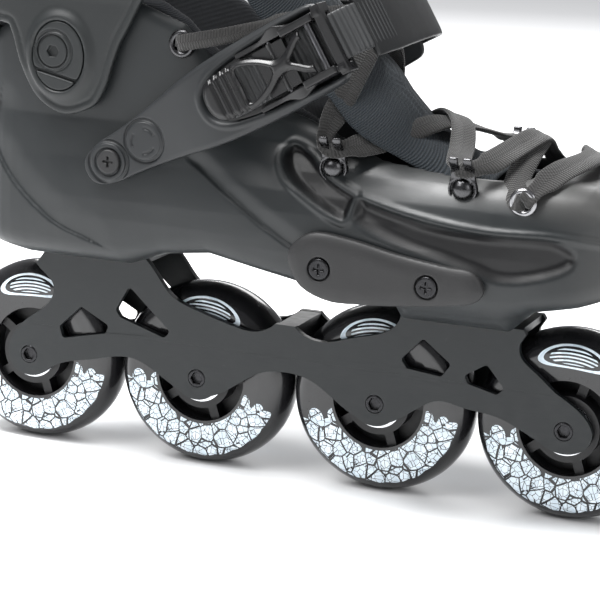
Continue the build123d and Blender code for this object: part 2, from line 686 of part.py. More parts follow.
tongue_path_points = [(87.0, 144.0), (68.0, 150.0), (50.0, 163.0), (34.0, 181.0), (6.0, 207.0),
                      (-12.0, 232.0), (-18.0, 262.0), (-20.0, 306.0)]
tongue_half_width = 24.0
tongue_sagitta = 8.0
tongue_thickness = 6.0

with BuildPart() as tongue:
    with BuildLine(Plane.XZ) as tongue_path:
        Spline(*tongue_path_points)
    with BuildSketch(Plane(origin=tongue_path.line @ 0, x_dir=(0, 1, 0), z_dir=tongue_path.line % 0)):
        with BuildLine():
            outer_edge = ThreePointArc((-tongue_half_width, tongue_sagitta), (0, 0),
                                       (tongue_half_width, tongue_sagitta))
            inner_edge = ThreePointArc((-tongue_half_width, tongue_sagitta + tongue_thickness),
                                       (0, tongue_thickness),
                                       (tongue_half_width, tongue_sagitta + tongue_thickness))
            Line(outer_edge @ 0, inner_edge @ 0)
            Line(outer_edge @ 1, inner_edge @ 1)
        make_face()
    sweep(path=tongue_path.line)
save(tongue.part, "tongue")


def pin(plane, x, y, radius, width, hole=0.0):
    """Round bar or tube along the strap width."""
    with BuildPart(mode=Mode.PRIVATE) as body:
        with BuildSketch(plane.offset(-width / 2)):
            with Locations((x, y)):
                Circle(radius)
                if hole:
                    Circle(hole, mode=Mode.SUBTRACT)
        extrude(amount=width)
    return body.part


def save_buckle(plane, seat, name):
    """The five moving and fixed pieces of one buckle, seated at a local Y of -seat."""
    base_face = -seat - base_thickness
    ladder_face = base_face - ladder_gap - ladder_thickness
    lever_axis = ladder_face - barrel_radius - ladder_gap
    pawl_axis = ladder_face - tooth_height - 2.2
    cheek_top = lever_axis - 2.4
    cheek_inner = ladder_width / 2 + 0.6
    cheek_low = -cheek_inner - cheek_thickness

    with BuildPart() as base:
        add(block(plane, base_start, base_end, -seat, base_face, strap_width - 2))
        for low in (cheek_low, cheek_inner):
            add(block(plane, cheek_start, base_end, -seat, cheek_top, cheek_thickness, low))
        add(pin(plane, lever_pivot, lever_axis, pin_radius, strap_width), mode=Mode.SUBTRACT)
        add(pin(plane, pawl_pivot, pawl_axis, pin_radius / 2, strap_width), mode=Mode.SUBTRACT)
    save(base.part, f"{name}_buckle_base")

    with BuildPart() as pins:
        add(pin(plane, lever_pivot, lever_axis, pin_radius, 2 * (cheek_inner + cheek_thickness)))
        add(pin(plane, pawl_pivot, pawl_axis, pin_radius / 2, 2 * (cheek_inner + cheek_thickness)))
    save(pins.part, f"{name}_buckle_pins")

    # Lever: a long handle outside the cheeks' top and a barrel that turns on the pin.
    handle_face = cheek_top - ladder_gap
    with BuildPart() as lever:
        add(block(plane, lever_tip, lever_pivot - 3.0, handle_face, handle_face - lever_thickness,
                  strap_width - 2))
        add(block(plane, lever_pivot - 5.0, lever_pivot + 2.0, handle_face, handle_face - lever_thickness,
                  ladder_width))
        add(block(plane, lever_pivot - 2.0, lever_pivot + 2.0, lever_axis, handle_face, ladder_width))
        add(pin(plane, lever_pivot, lever_axis, barrel_radius, ladder_width))
        add(pin(plane, lever_pivot, lever_axis, pin_radius + running_gap, ladder_width + 1), mode=Mode.SUBTRACT)
        for rib in range(3):
            add(block(plane, lever_tip + 2.0 + 3.0 * rib, lever_tip + 3.4 + 3.0 * rib,
                      handle_face - lever_thickness, handle_face - lever_thickness - 0.8, strap_width - 4))
    save(lever.part, f"{name}_buckle_lever")

    # Pawl: a short plate whose nose rests just above the ladder teeth.
    with BuildPart() as pawl:
        add(block(plane, pawl_pivot - 8.0, pawl_pivot + 6.0, pawl_axis + 1.0, pawl_axis - 1.0, ladder_width - 1))
        add(band(plane, [(pawl_pivot + 3.0, pawl_axis), (pawl_pivot + 6.0, pawl_axis),
                         (pawl_pivot + 6.0, pawl_axis + 1.9)], ladder_width - 1))
        add(pin(plane, pawl_pivot, pawl_axis, 1.6, ladder_width))
        add(pin(plane, pawl_pivot, pawl_axis, pin_radius / 2 + running_gap, ladder_width + 1), mode=Mode.SUBTRACT)
    save(pawl.part, f"{name}_buckle_pawl")
    return ladder_face + ladder_thickness / 2


def ladder_strap(plane, outer_y, inner_y, apex, tail):
    """Toothed strap from the buckle over the front of the foot to the inner side."""
    half = ladder_thickness / 2
    with BuildPart(mode=Mode.PRIVATE) as body:
        with BuildSketch(plane.offset(-ladder_width / 2)):
            with BuildLine():
                Line((ladder_start, outer_y - half), (base_end, outer_y - half))
                Spline((base_end, outer_y - half), (apex + half, 0), (base_end, inner_y + half),
                       tangents=((1, 0), (-1, 0)))
                Polyline((base_end, inner_y + half), (base_end - tail, inner_y + half),
                         (base_end - tail, inner_y - half), (base_end, inner_y - half))
                Spline((base_end, inner_y - half), (apex - half, 0), (base_end, outer_y + half),
                       tangents=((1, 0), (-1, 0)))
                Polyline((base_end, outer_y + half), (ladder_start, outer_y + half),
                         (ladder_start, outer_y - half))
            make_face()
        extrude(amount=ladder_width)
        teeth = int((pawl_pivot - ladder_start) / tooth_pitch)
        for tooth in range(teeth):
            start = ladder_start + 2.0 + tooth * tooth_pitch
            face = outer_y - half
            add(band(plane, [(start, face + half / 2), (start, face), (start + 2.0, face - tooth_height),
                             (start + 2.0, face + half / 2)], ladder_width - 2))
    return body.part


# Instep closure.
anchor_plate_thickness = 1.8
anchor_screw_head = 1.4
anchor_head_radius = 4.5
instep_apex = 120.0
instep_tail = 40.0

ladder_y = save_buckle(instep_plane, strap_face, "instep")

with BuildPart() as instep_strap:
    for side, end in zip(SIDES, (strap_end, inner_strap_end)):
        add(block(instep_plane, strap_start, end, side * shell_side_at_strap, side * strap_face, strap_width))
        add(rod(*anchor_screw_at, anchor_screw_radius, side * cut_from, side * cut_to), mode=Mode.SUBTRACT)
save(instep_strap.part, "instep_strap")

instep_inner_y = strap_face + ladder_thickness / 2
with BuildPart() as instep_ladder:
    add(ladder_strap(instep_plane, ladder_y, instep_inner_y, instep_apex, instep_tail))
save(instep_ladder.part, "instep_ladder")

with BuildPart() as anchor_plates:
    for side in SIDES:
        with BuildSketch(Plane.XZ.offset(-side * strap_face if side > 0 else strap_face)):
            with Locations(anchor_screw_at):
                Circle(anchor_pad_radius)
            with Locations(anchor_disc_at):
                Circle(anchor_disc_radius)
            make_hull()
            with Locations(anchor_screw_at):
                Circle(anchor_screw_radius, mode=Mode.SUBTRACT)
        extrude(amount=-side * anchor_plate_thickness)
save(anchor_plates.part, "strap_anchor_plates")

with BuildPart() as anchor_screws:
    for side in SIDES:
        face = strap_face + anchor_plate_thickness
        add(rod(*anchor_screw_at, anchor_screw_radius, side * (ankle_half_width - 2.0), side * face))
        add(rod(*anchor_screw_at, anchor_head_radius, side * face, side * (face + anchor_screw_head)))
save(anchor_screws.part, "strap_anchor_screws")

# Cuff closure, carried by the cuff.
cuff_strap_plane = strap_plane(-130.0, 264.0, 0.0)
cuff_face = cuff_outer_half + cuff_flare
cuff_apex = 130.0
cuff_tail = 50.0
cuff_ladder_y = save_buckle(cuff_strap_plane, cuff_face, "cuff")
cuff_inner_y = cuff_face + ladder_thickness / 2

with BuildPart() as cuff_ladder:
    add(ladder_strap(cuff_strap_plane, cuff_ladder_y, cuff_inner_y, cuff_apex, cuff_tail))
save(cuff_ladder.part, "cuff_ladder")

# ---------------------------------------------------------------------------
# Lacing: hooks, eyelets and one lace that crosses over the tongue.
# ---------------------------------------------------------------------------
lace_corner = 2.5

with BuildPart() as lace_hooks:
    for side in SIDES:
        for x, z, face in hooks_at:
            add(rod(x, z, hook_stem_radius, side * (face - hook_inside), side * (face + hook_reach)))
            add(rod(x, z, hook_flange_radius, side * face, side * (face + 1.0)))
            with Locations((x, side * (face + hook_reach), z)):
                Sphere(hook_ball_radius)
save(lace_hooks.part, "lace_hooks")

with BuildPart() as eyelets:
    for side in SIDES:
        for x, z, face in eyelets_at:
            add(rod(x, z, eyelet_barrel_radius, side * (face - shell_thickness), side * face, eyelet_bore_radius))
            add(rod(x, z, eyelet_flange_radius, side * face, side * (face + eyelet_flange), eyelet_bore_radius))
save(eyelets.part, "eyelets")


def lace_run(side, lift):
    """Half of the lace, from a rear eyelet down to the front eyelet across the foot."""
    (hook_1_x, hook_1_z, hook_1_y), (hook_2_x, hook_2_z, hook_2_y) = hooks_at
    (rear_x, rear_z, rear_y), (front_x, front_z, front_y) = eyelets_at
    below = hook_stem_radius + lace_radius + seat_gap
    outside = 5.5
    clear = 6.2
    return [
        (rear_x, side * (rear_y - 2.0), rear_z),
        (rear_x, side * (rear_y + 8.5), rear_z),
        (-8.0, side * 31.0, 213.5),
        (8.5 + lift, 0.0, 211.0 + lift),
        (20.0, -side * 30.5, 190.5),
        (hook_1_x - clear, -side * (hook_1_y + outside), hook_1_z - below),
        (hook_1_x + clear, -side * (hook_1_y + outside), hook_1_z - below),
        (36.5, -side * 30.5, 169.5),
        (52.5 + lift, 0.0, 167.0 + lift),
        (60.0, side * 30.5, 155.5),
        (hook_2_x - clear, side * (hook_2_y + outside), hook_2_z - below),
        (hook_2_x + clear, side * (hook_2_y + outside), hook_2_z - below),
        (88.2, side * 31.5, 153.0),
        (92.0, 0.0, 151.0 + 1.3 * lift),
        (99.0, -side * 36.0, 153.5),
        (front_x - 1.0, -side * (front_y + 8.0), front_z),
        (front_x + 5.0, -side * (front_y + 8.0), front_z),
        (front_x + 4.0, -side * 36.0, 153.5),
    ]


lace_points = lace_run(-1, 0.0) + list(reversed(lace_run(1, 3.0)))
with BuildPart() as lace:
    with BuildLine() as lace_path:
        FilletPolyline(*lace_points, radius=lace_corner)
    with BuildSketch(Plane(origin=lace_path.line @ 0, z_dir=lace_path.line % 0)):
        Circle(lace_radius)
    sweep(path=lace_path.line)
save(lace.part, "lace")
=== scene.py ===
import functools
import math

import bpy
import numpy as np
from mathutils import Matrix, Vector


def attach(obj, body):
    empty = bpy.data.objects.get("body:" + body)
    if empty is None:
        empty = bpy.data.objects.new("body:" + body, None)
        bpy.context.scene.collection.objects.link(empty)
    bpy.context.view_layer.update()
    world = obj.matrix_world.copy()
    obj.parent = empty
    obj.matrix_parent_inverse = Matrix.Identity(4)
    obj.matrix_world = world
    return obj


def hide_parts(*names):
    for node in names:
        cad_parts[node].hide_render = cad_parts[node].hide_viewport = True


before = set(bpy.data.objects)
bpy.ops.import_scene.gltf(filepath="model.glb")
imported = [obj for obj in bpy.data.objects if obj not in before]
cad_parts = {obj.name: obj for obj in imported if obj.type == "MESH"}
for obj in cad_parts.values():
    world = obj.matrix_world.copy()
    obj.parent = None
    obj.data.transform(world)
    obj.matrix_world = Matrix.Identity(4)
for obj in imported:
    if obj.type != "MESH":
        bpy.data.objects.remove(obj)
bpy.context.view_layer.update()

MM = 0.001
SIDES = (-1, 1)

# Places that several pieces share, in millimetres: X along the skate, then Z above the floor.
axle_xs = (-121.5, -40.5, 40.5, 121.5)
axle_height = 40
cuff_pivot = (-96, 179)
strap_screw = (-68, 136.3)
slider_screws = ((27, 103), (72, 101))
rear_eyelet = (-40, 186)
front_eyelet = (106, 136.5)

shell_step = 0.7
wall_step = 0.8
soft_step = 1.3
fine = 0.4

# ---------------------------------------------------------------------------
# Camera, at the viewpoint of the reference, and a plain studio.
# ---------------------------------------------------------------------------
camera_place = Vector((0.33406, -0.86086, 0.29985))
camera_turn = math.radians(21.23)
camera_rise = math.radians(13.61)
camera_roll = math.radians(2.17)
camera_lens = 134.38

back = Vector((math.sin(camera_turn) * math.cos(camera_rise),
               -math.cos(camera_turn) * math.cos(camera_rise), math.sin(camera_rise)))
level_right = Vector((math.cos(camera_turn), math.sin(camera_turn), 0))
level_up = back.cross(level_right)
right = level_right * math.cos(camera_roll) + level_up * math.sin(camera_roll)
up = level_up * math.cos(camera_roll) - level_right * math.sin(camera_roll)

camera_data = bpy.data.cameras.new("camera")
camera_data.lens = camera_lens
camera_data.sensor_width = 36
camera_data.clip_end = 20
camera = bpy.data.objects.new("camera", camera_data)
bpy.context.scene.collection.objects.link(camera)
turn = Matrix((right, up, back)).transposed().to_4x4()
camera.matrix_world = Matrix.Translation(camera_place) @ turn
bpy.context.scene.camera = camera


def area_light(name, place, target, size, power):
    """Soft rectangular light that faces a target."""
    data = bpy.data.lights.new(name, "AREA")
    data.shape = "RECTANGLE"
    data.size, data.size_y = size
    data.energy = power
    lamp = bpy.data.objects.new(name, data)
    bpy.context.scene.collection.objects.link(lamp)
    lamp.location = place
    lamp.rotation_euler = (Vector(target) - Vector(place)).to_track_quat("-Z", "Y").to_euler()
    return lamp


area_light("key_light", (-0.9, -1.3, 1.5), (0, 0, 0.14), (0.9, 0.9), 15)
area_light("fill_light", (1.5, -0.9, 0.9), (0, 0, 0.12), (1.0, 1.0), 9)
area_light("top_light", (-0.42, -0.2, 1.45), (0.04, 0, 0.12), (0.75, 0.75), 62)
area_light("rim_light", (-0.4, 1.4, 0.9), (0, 0, 0.15), (1.2, 0.7), 14)

world = bpy.data.worlds.new("studio")
world.use_nodes = True
world.node_tree.nodes["Background"].inputs["Color"].default_value = (0.95, 0.96, 1.0, 1)
world.node_tree.nodes["Background"].inputs["Strength"].default_value = 0.32
bpy.context.scene.world = world
bpy.context.scene.view_settings.view_transform = "Standard"

floor_mesh = bpy.data.meshes.new("floor")
floor_reach = 6
floor_corners = [(x * floor_reach, y * floor_reach, 0) for x, y in ((-1, -1), (1, -1), (1, 1), (-1, 1))]
floor_mesh.from_pydata(floor_corners, [], [(0, 1, 2, 3)])
floor = bpy.data.objects.new("floor", floor_mesh)
bpy.context.scene.collection.objects.link(floor)


# ---------------------------------------------------------------------------
# Node materials.
# ---------------------------------------------------------------------------
reflectivity = 0.34


class Nodes:
    """Short way to build a material's node tree."""

    def __init__(self, name, color, rough, metal=0.0, coat=0.0, sheen=0.0):
        self.material = bpy.data.materials.new(name)
        self.material.use_nodes = True
        self.tree = self.material.node_tree
        self.shader = self.tree.nodes["Principled BSDF"]
        settings = {"Base Color": (*color, 1), "Roughness": rough, "Metallic": metal, "Coat Weight": coat,
                    "Sheen Weight": sheen, "Specular IOR Level": reflectivity}
        for socket, value in settings.items():
            self.shader.inputs[socket].default_value = value
        self.bumps = []

    def add(self, kind, **values):
        node = self.tree.nodes.new(kind)
        for name, value in values.items():
            setattr(node, name, value)
        return node

    def feed(self, socket, value):
        """Link an output to a socket, or set the socket to a plain value."""
        if isinstance(value, bpy.types.NodeSocket):
            self.tree.links.new(value, socket)
        else:
            socket.default_value = value

    def place(self):
        return self.add("ShaderNodeTexCoord").outputs["Object"]

    def math(self, operation, a, b=0.0):
        node = self.add("ShaderNodeMath", operation=operation)
        self.feed(node.inputs[0], a)
        self.feed(node.inputs[1], b)
        return node.outputs[0]

    def product(self, *values):
        return functools.reduce(lambda a, b: self.math("MULTIPLY", a, b), values)

    def over(self, value, limit):
        return self.math("GREATER_THAN", value, limit)

    def under(self, value, limit):
        return self.math("LESS_THAN", value, limit)

    def axes(self):
        """X, Y and Z of the place on the object."""
        node = self.add("ShaderNodeSeparateXYZ")
        self.feed(node.inputs[0], self.place())
        return node.outputs

    def stretched(self, scale):
        """The place on the object, scaled along each axis."""
        node = self.add("ShaderNodeMapping")
        self.feed(node.inputs["Vector"], self.place())
        node.inputs["Scale"].default_value = scale
        return node.outputs["Vector"]

    def noise(self, scale, detail=4.0, rough=0.55, vector=None):
        node = self.add("ShaderNodeTexNoise")
        self.feed(node.inputs["Vector"], vector or self.place())
        node.inputs["Scale"].default_value = scale
        node.inputs["Detail"].default_value = detail
        node.inputs["Roughness"].default_value = rough
        return node.outputs["Fac"]

    def cells(self, scale, vector=None, feature="F1", output="Distance"):
        node = self.add("ShaderNodeTexVoronoi", feature=feature)
        self.feed(node.inputs["Vector"], vector or self.place())
        node.inputs["Scale"].default_value = scale
        return node.outputs[output]

    def span(self, value, low, high, to_low, to_high):
        node = self.add("ShaderNodeMapRange")
        self.feed(node.inputs["Value"], value)
        for name, number in zip(("From Min", "From Max", "To Min", "To Max"), (low, high, to_low, to_high)):
            node.inputs[name].default_value = number
        return node.outputs["Result"]

    def mix(self, factor, first, second):
        node = self.add("ShaderNodeMix", data_type="RGBA")
        self.feed(node.inputs["Factor"], factor)
        for socket, value in zip((node.inputs[6], node.inputs[7]), (first, second)):
            self.feed(socket, value if isinstance(value, bpy.types.NodeSocket) else (*value, 1))
        return node.outputs[2]

    def attribute(self, name):
        return self.add("ShaderNodeAttribute", attribute_name=name).outputs["Fac"]

    def color(self, value):
        self.feed(self.shader.inputs["Base Color"], value)

    def rough(self, value):
        self.feed(self.shader.inputs["Roughness"], value)

    def bump(self, height, depth_mm, strength=1.0):
        """Stack one more bump layer; depth_mm is the height of a full-scale step."""
        node = self.add("ShaderNodeBump")
        node.inputs["Strength"].default_value = strength
        node.inputs["Distance"].default_value = depth_mm * MM
        self.feed(node.inputs["Height"], height)
        if self.bumps:
            self.tree.links.new(self.bumps[-1], node.inputs["Normal"])
        self.bumps.append(node.outputs["Normal"])
        self.feed(self.shader.inputs["Normal"], node.outputs["Normal"])


def moulded(name, color, rough, grain_mm=0.5, grain_depth=0.03, coat=0.0, lift=1.5, scuffs=0.35):
    """Moulded plastic: fine spark-eroded grain, cloudy sheen and faint light scuffs."""
    m = Nodes(name, color, rough, coat=coat)
    cloud = m.noise(22, 3)
    scratch = m.span(m.noise(420, 6, 0.7), 0.58, 0.75, 0.0, scuffs)
    light = tuple(min(c * lift + 0.006, 1) for c in color)
    m.color(m.mix(scratch, m.mix(cloud, color, tuple(c * 1.22 for c in color)), light))
    m.rough(m.span(m.noise(60, 4), 0.3, 0.7, rough - 0.06, rough + 0.08))
    m.bump(m.noise(1000 / grain_mm, 2), grain_depth)
    return m.material


def metal(name, color, rough, brushed=0.0):
    """Metal with fine marks in its colour, its roughness and its surface."""
    m = Nodes(name, color, rough, metal=1.0)
    lines = m.noise(900, 3)
    m.color(m.mix(m.noise(80, 4), color, tuple(c * 0.72 for c in color)))
    m.rough(m.span(lines, 0.3, 0.7, max(rough - 0.08, 0.04), rough + 0.12))
    m.bump(lines, 0.004 + 0.02 * brushed)
    return m.material


def repaint(material, *nodes):
    """Give CAD nodes a scene material."""
    for name in nodes:
        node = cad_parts[name]
        node.data.materials.clear()
        node.data.materials.append(material)


floor_look = Nodes("studio_floor", (0.86, 0.87, 0.88), 0.85)
floor_look.color(floor_look.mix(floor_look.noise(3, 2), (0.93, 0.935, 0.94), (0.95, 0.955, 0.96)))
floor.data.materials.append(floor_look.material)

wheel_names = [f"wheel_{i}" for i in range(1, 5)]

anodised = Nodes("anodised_black", (0.014, 0.015, 0.017), 0.42)
grain_lines = anodised.noise(1500, 3, vector=anodised.stretched((0.12, 1, 1)))
wear = anodised.span(anodised.noise(260, 6, 0.75), 0.66, 0.8, 0.0, 0.5)
dye = anodised.mix(anodised.noise(30, 3), (0.006, 0.008, 0.009), (0.010, 0.012, 0.013))
anodised.color(anodised.mix(wear, dye, (0.07, 0.072, 0.075)))
anodised.rough(anodised.span(grain_lines, 0.3, 0.7, 0.36, 0.52))
anodised.bump(grain_lines, 0.012)

steel = metal("bearing_steel", (0.62, 0.63, 0.65), 0.2)
shield_steel = metal("bearing_shield", (0.5, 0.51, 0.53), 0.3, brushed=0.6)
dark_steel = metal("dark_steel", (0.09, 0.09, 0.095), 0.34, brushed=0.4)
black_screw = metal("black_screw", (0.035, 0.035, 0.037), 0.3, brushed=0.3)
brass = metal("brass", (0.62, 0.45, 0.18), 0.32, brushed=0.3)
gunmetal = metal("gunmetal", (0.075, 0.075, 0.078), 0.24)
bright_ring = metal("bright_ring", (0.28, 0.28, 0.29), 0.18)
hub_plastic = moulded("hub_plastic", (0.004, 0.004, 0.0045), 0.4)
buckle_plastic = moulded("buckle_plastic", (0.006, 0.006, 0.0065), 0.3, grain_mm=0.4, grain_depth=0.012)
ladder_plastic = moulded("ladder_plastic", (0.030, 0.031, 0.032), 0.4, grain_mm=0.4, grain_depth=0.012)
slider_plastic = moulded("slider_plastic", (0.013, 0.013, 0.0135), 0.52, grain_mm=0.7, grain_depth=0.06)
bush_plastic = moulded("bush_plastic", (0.02, 0.02, 0.021), 0.5)
cage_plastic = moulded("cage_plastic", (0.45, 0.43, 0.37), 0.5)
footbed_foam = moulded("footbed_foam", (0.06, 0.06, 0.065), 0.9, grain_mm=1.2, grain_depth=0.2)


def on_wheels(part):
    return [f"{wheel}_{part}" for wheel in wheel_names]


repaint(anodised.material, "chassis")
repaint(dark_steel, "front_frame_bolt", "rear_frame_bolt", "mount_washers", "cuff_pivot_nuts",
        "instep_buckle_pins", "cuff_buckle_pins")
repaint(steel, "bearing_inner_rings", *on_wheels("bearing_outer_rings"), *on_wheels("bearing_balls"))
repaint(shield_steel, "bearing_spacers", *on_wheels("bearing_shields"))
repaint(brass, "mount_inserts")
repaint(bush_plastic, "cuff_pivot_bushes")
repaint(cage_plastic, *on_wheels("bearing_cages"))
repaint(hub_plastic, *on_wheels("hub"))
repaint(buckle_plastic, "instep_buckle_pawl", "cuff_buckle_pawl")
repaint(footbed_foam, "footbed")


# Radii of the wheel print and its badge, in metres, and how far the print reaches each way round.
print_inner, print_middle, print_outer = 0.0212, 0.031, 0.0362
print_reach = 1.36
badge_middle = 0.0305
flank_from = 0.0048


def tyre_material(name, axle_x, turn):
    """Black urethane with a pale printed crescent of cells and a plain badge on its flanks."""
    m = Nodes(name, (0.004, 0.004, 0.0045), 0.16, coat=0.35)
    x, y, z = m.axes()
    dx = m.math("SUBTRACT", x, axle_x * MM)
    dz = m.math("SUBTRACT", z, axle_height * MM)
    radius = m.math("SQRT", m.math("ADD", m.product(dx, dx), m.product(dz, dz)))
    flank = m.over(m.math("ABSOLUTE", y), flank_from)

    # Crescent of outlined cells, centred on the lowest point.
    angle = m.math("SUBTRACT", m.math("ARCTAN2", dx, m.product(dz, -1.0)), turn)
    polar = m.add("ShaderNodeCombineXYZ")
    m.feed(polar.inputs[0], m.product(angle, print_middle))
    m.feed(polar.inputs[1], radius)
    flat_place = polar.outputs[0]
    jag = m.product(m.math("SUBTRACT", m.cells(150, flat_place), 0.5), 0.30)
    reach = m.math("ADD", m.math("ABSOLUTE", angle), jag)
    ragged_radius = m.math("ADD", radius, m.product(m.cells(190, flat_place), 0.0016))
    crescent = m.product(m.under(reach, print_reach), m.over(radius, print_inner),
                         m.under(ragged_radius, print_outer))
    outline, inner_line = (m.over(m.cells(scale, flat_place, feature="DISTANCE_TO_EDGE"), width)
                           for scale, width in ((165, 0.045), (420, 0.035)))
    printed = m.product(crescent, outline, inner_line, flank)

    # Plain striped oval above the hub.
    badge_angle = m.math("ADD", m.math("ARCTAN2", dx, dz), turn)
    around = m.math("POWER", m.product(m.math("ABSOLUTE", badge_angle), 2.0), 2.0)
    outward = m.product(m.math("ABSOLUTE", m.math("SUBTRACT", radius, badge_middle)), 200.0)
    oval = m.math("ADD", around, m.math("POWER", outward, 2.0))
    ring = m.product(m.under(oval, 1.0), m.over(oval, 0.70))
    stripes = m.product(m.under(oval, 0.45), m.over(m.math("SINE", m.product(radius, 4200.0)), 0.2))
    badge = m.product(m.math("MAXIMUM", ring, stripes), flank)

    ink = m.math("MAXIMUM", printed, badge)
    tint = m.mix(m.cells(230, flat_place, output="Color"), (0.50, 0.59, 0.66), (0.74, 0.82, 0.88))
    urethane = m.mix(m.noise(50, 4), (0.005, 0.005, 0.006), (0.010, 0.010, 0.011))
    m.color(m.mix(ink, urethane, tint))
    m.rough(m.span(m.noise(300, 5, 0.7), 0.3, 0.75, 0.12, 0.3))
    m.bump(m.noise(700, 3), 0.01)
    return m.material


print_turns = (0.05, -0.12, 0.1, -0.05)
for wheel, axle_x, turn in zip(wheel_names, axle_xs, print_turns):
    repaint(tyre_material(f"{wheel}_tyre_print", axle_x, turn), f"{wheel}_tyre")

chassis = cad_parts["chassis"]
weld = chassis.modifiers.new("weld", "WELD")
weld.merge_threshold = 0.00002
bevel = chassis.modifiers.new("bevel", "BEVEL")
bevel.width = 0.00045
bevel.segments = 2
bevel.limit_method = "ANGLE"
bevel.angle_limit = math.radians(35)
bevel.harden_normals = False


# ---------------------------------------------------------------------------
# Solid modelling on a grid: outlines give distances in millimetres, which are
# combined and then skinned with one vertex per crossed cell.
# ---------------------------------------------------------------------------
def curve_through(points, steps=6, closed=True):
    """Smooth curve through points, as an array of rows."""
    p = np.array(points, dtype=float)
    count = len(p)
    rows = []
    for i in range(count if closed else count - 1):
        if closed:
            a, b, c, d = (p[(i + k) % count] for k in (-1, 0, 1, 2))
        else:
            a, b, c, d = (p[min(max(i + k, 0), count - 1)] for k in (-1, 0, 1, 2))
        for t in np.linspace(0, 1, steps, endpoint=False):
            rows.append(0.5 * (2 * b + (c - a) * t + (2 * a - 5 * b + 4 * c - d) * t ** 2
                               + (3 * b - a - 3 * c + d) * t ** 3))
    if not closed:
        rows.append(p[-1])
    return np.array(rows)


def outline_field(points, u, v):
    """Signed distance to a closed outline on the u by v grid, negative inside."""
    grid_u, grid_v = np.meshgrid(u, v, indexing="ij")
    nearest = np.full(grid_u.shape, 1e9)
    inside = np.zeros(grid_u.shape, dtype=bool)
    for (ax, ay), (bx, by) in zip(points, np.roll(points, -1, axis=0)):
        ex, ey = bx - ax, by - ay
        along = np.clip(((grid_u - ax) * ex + (grid_v - ay) * ey) / max(ex * ex + ey * ey, 1e-9), 0, 1)
        nearest = np.minimum(nearest, (grid_u - ax - along * ex) ** 2 + (grid_v - ay - along * ey) ** 2)
        if ey != 0:
            inside ^= ((ay > grid_v) != (by > grid_v)) & (grid_u < ex * (grid_v - ay) / ey + ax)
    return np.where(inside, -1, 1) * np.sqrt(nearest)


def line_field(points, u, v):
    """Distance to an open line, the length along it and the side of it, on the u by v grid."""
    grid_u, grid_v = np.meshgrid(u, v, indexing="ij")
    nearest = np.full(grid_u.shape, 1e9)
    length = np.zeros(grid_u.shape)
    side = np.zeros(grid_u.shape)
    run = 0.0
    for (ax, ay), (bx, by) in zip(points[:-1], points[1:]):
        ex, ey = bx - ax, by - ay
        size = math.hypot(ex, ey)
        along = np.clip(((grid_u - ax) * ex + (grid_v - ay) * ey) / size ** 2, 0, 1)
        dist = (grid_u - ax - along * ex) ** 2 + (grid_v - ay - along * ey) ** 2
        closer = dist < nearest
        nearest = np.where(closer, dist, nearest)
        length = np.where(closer, run + along * size, length)
        side = np.where(closer, np.sign(ex * (grid_v - ay) - ey * (grid_u - ax)), side)
        run += size
    return np.sqrt(nearest), length, side


def soft_max(a, b, k):
    """Larger of two fields with a rounded edge of about k millimetres."""
    h = np.clip(0.5 + 0.5 * (a - b) / k, 0, 1)
    return a * h + b * (1 - h) + k * h * (1 - h)


def soft_min(a, b, k):
    """Smaller of two fields with a rounded corner of about k millimetres."""
    return -soft_max(-a, -b, k)


def fade(value, low, high):
    """Smooth step from 0 at low to 1 at high."""
    t = np.clip((value - low) / (high - low), 0, 1)
    return t * t * (3 - 2 * t)


def between(value, low, high):
    """Field that is negative while a value lies between two limits."""
    return np.maximum(low - value, value - high)


def all_of(*fields):
    """Overlap of fields, with sharp edges."""
    return functools.reduce(np.maximum, fields)


def skin(field, axes):
    """Vertices and quads of the zero surface of a field on three grid axes."""
    solid = field < 0
    cells = np.zeros(tuple(n - 1 for n in field.shape), dtype=np.uint8)
    corners = [(i, j, k) for i in (0, 1) for j in (0, 1) for k in (0, 1)]
    for i, j, k in corners:
        cells += solid[i:i + cells.shape[0], j:j + cells.shape[1], k:k + cells.shape[2]]
    active = np.argwhere((cells > 0) & (cells < 8))
    total = np.zeros((len(active), 3))
    hits = np.zeros(len(active))
    for i, start in enumerate(corners):
        for end in corners[i + 1:]:
            if sum(abs(s - e) for s, e in zip(start, end)) != 1:
                continue
            a = field[tuple((active + start).T)]
            b = field[tuple((active + end).T)]
            cross = (a < 0) != (b < 0)
            t = np.where(cross, a / np.where(cross, a - b, 1), 0)
            point = active + np.array(start) + t[:, None] * (np.array(end) - np.array(start))
            total += np.where(cross[:, None], point, 0)
            hits += cross
    index = np.full(cells.shape, -1, dtype=np.int64)
    index[tuple(active.T)] = np.arange(len(active))
    steps = [axis[1] - axis[0] for axis in axes]
    starts = [axis[0] for axis in axes]
    vertices = total / hits[:, None] * steps + starts
    quads = []
    for axis in range(3):
        one, two = (axis + 1) % 3, (axis + 2) % 3
        low = [slice(None)] * 3
        high = [slice(None)] * 3
        low[axis], high[axis] = slice(0, -1), slice(1, None)
        flip = solid[tuple(low)] != solid[tuple(high)]
        for edge_axis in (one, two):
            inner = [slice(None)] * 3
            inner[edge_axis] = slice(1, -1)
            keep = np.zeros_like(flip)
            keep[tuple(inner)] = True
            flip &= keep
        edges = np.argwhere(flip)
        shift_one = np.eye(3, dtype=int)[one]
        shift_two = np.eye(3, dtype=int)[two]
        ring = [index[tuple((edges - s).T)]
                for s in (shift_one * 0, shift_one, shift_one + shift_two, shift_two)]
        ring = np.stack(ring, axis=1)
        outward = solid[tuple(edges.T)]
        quads.append(np.where(outward[:, None], ring, ring[:, ::-1]))
    return vertices, np.concatenate(quads)


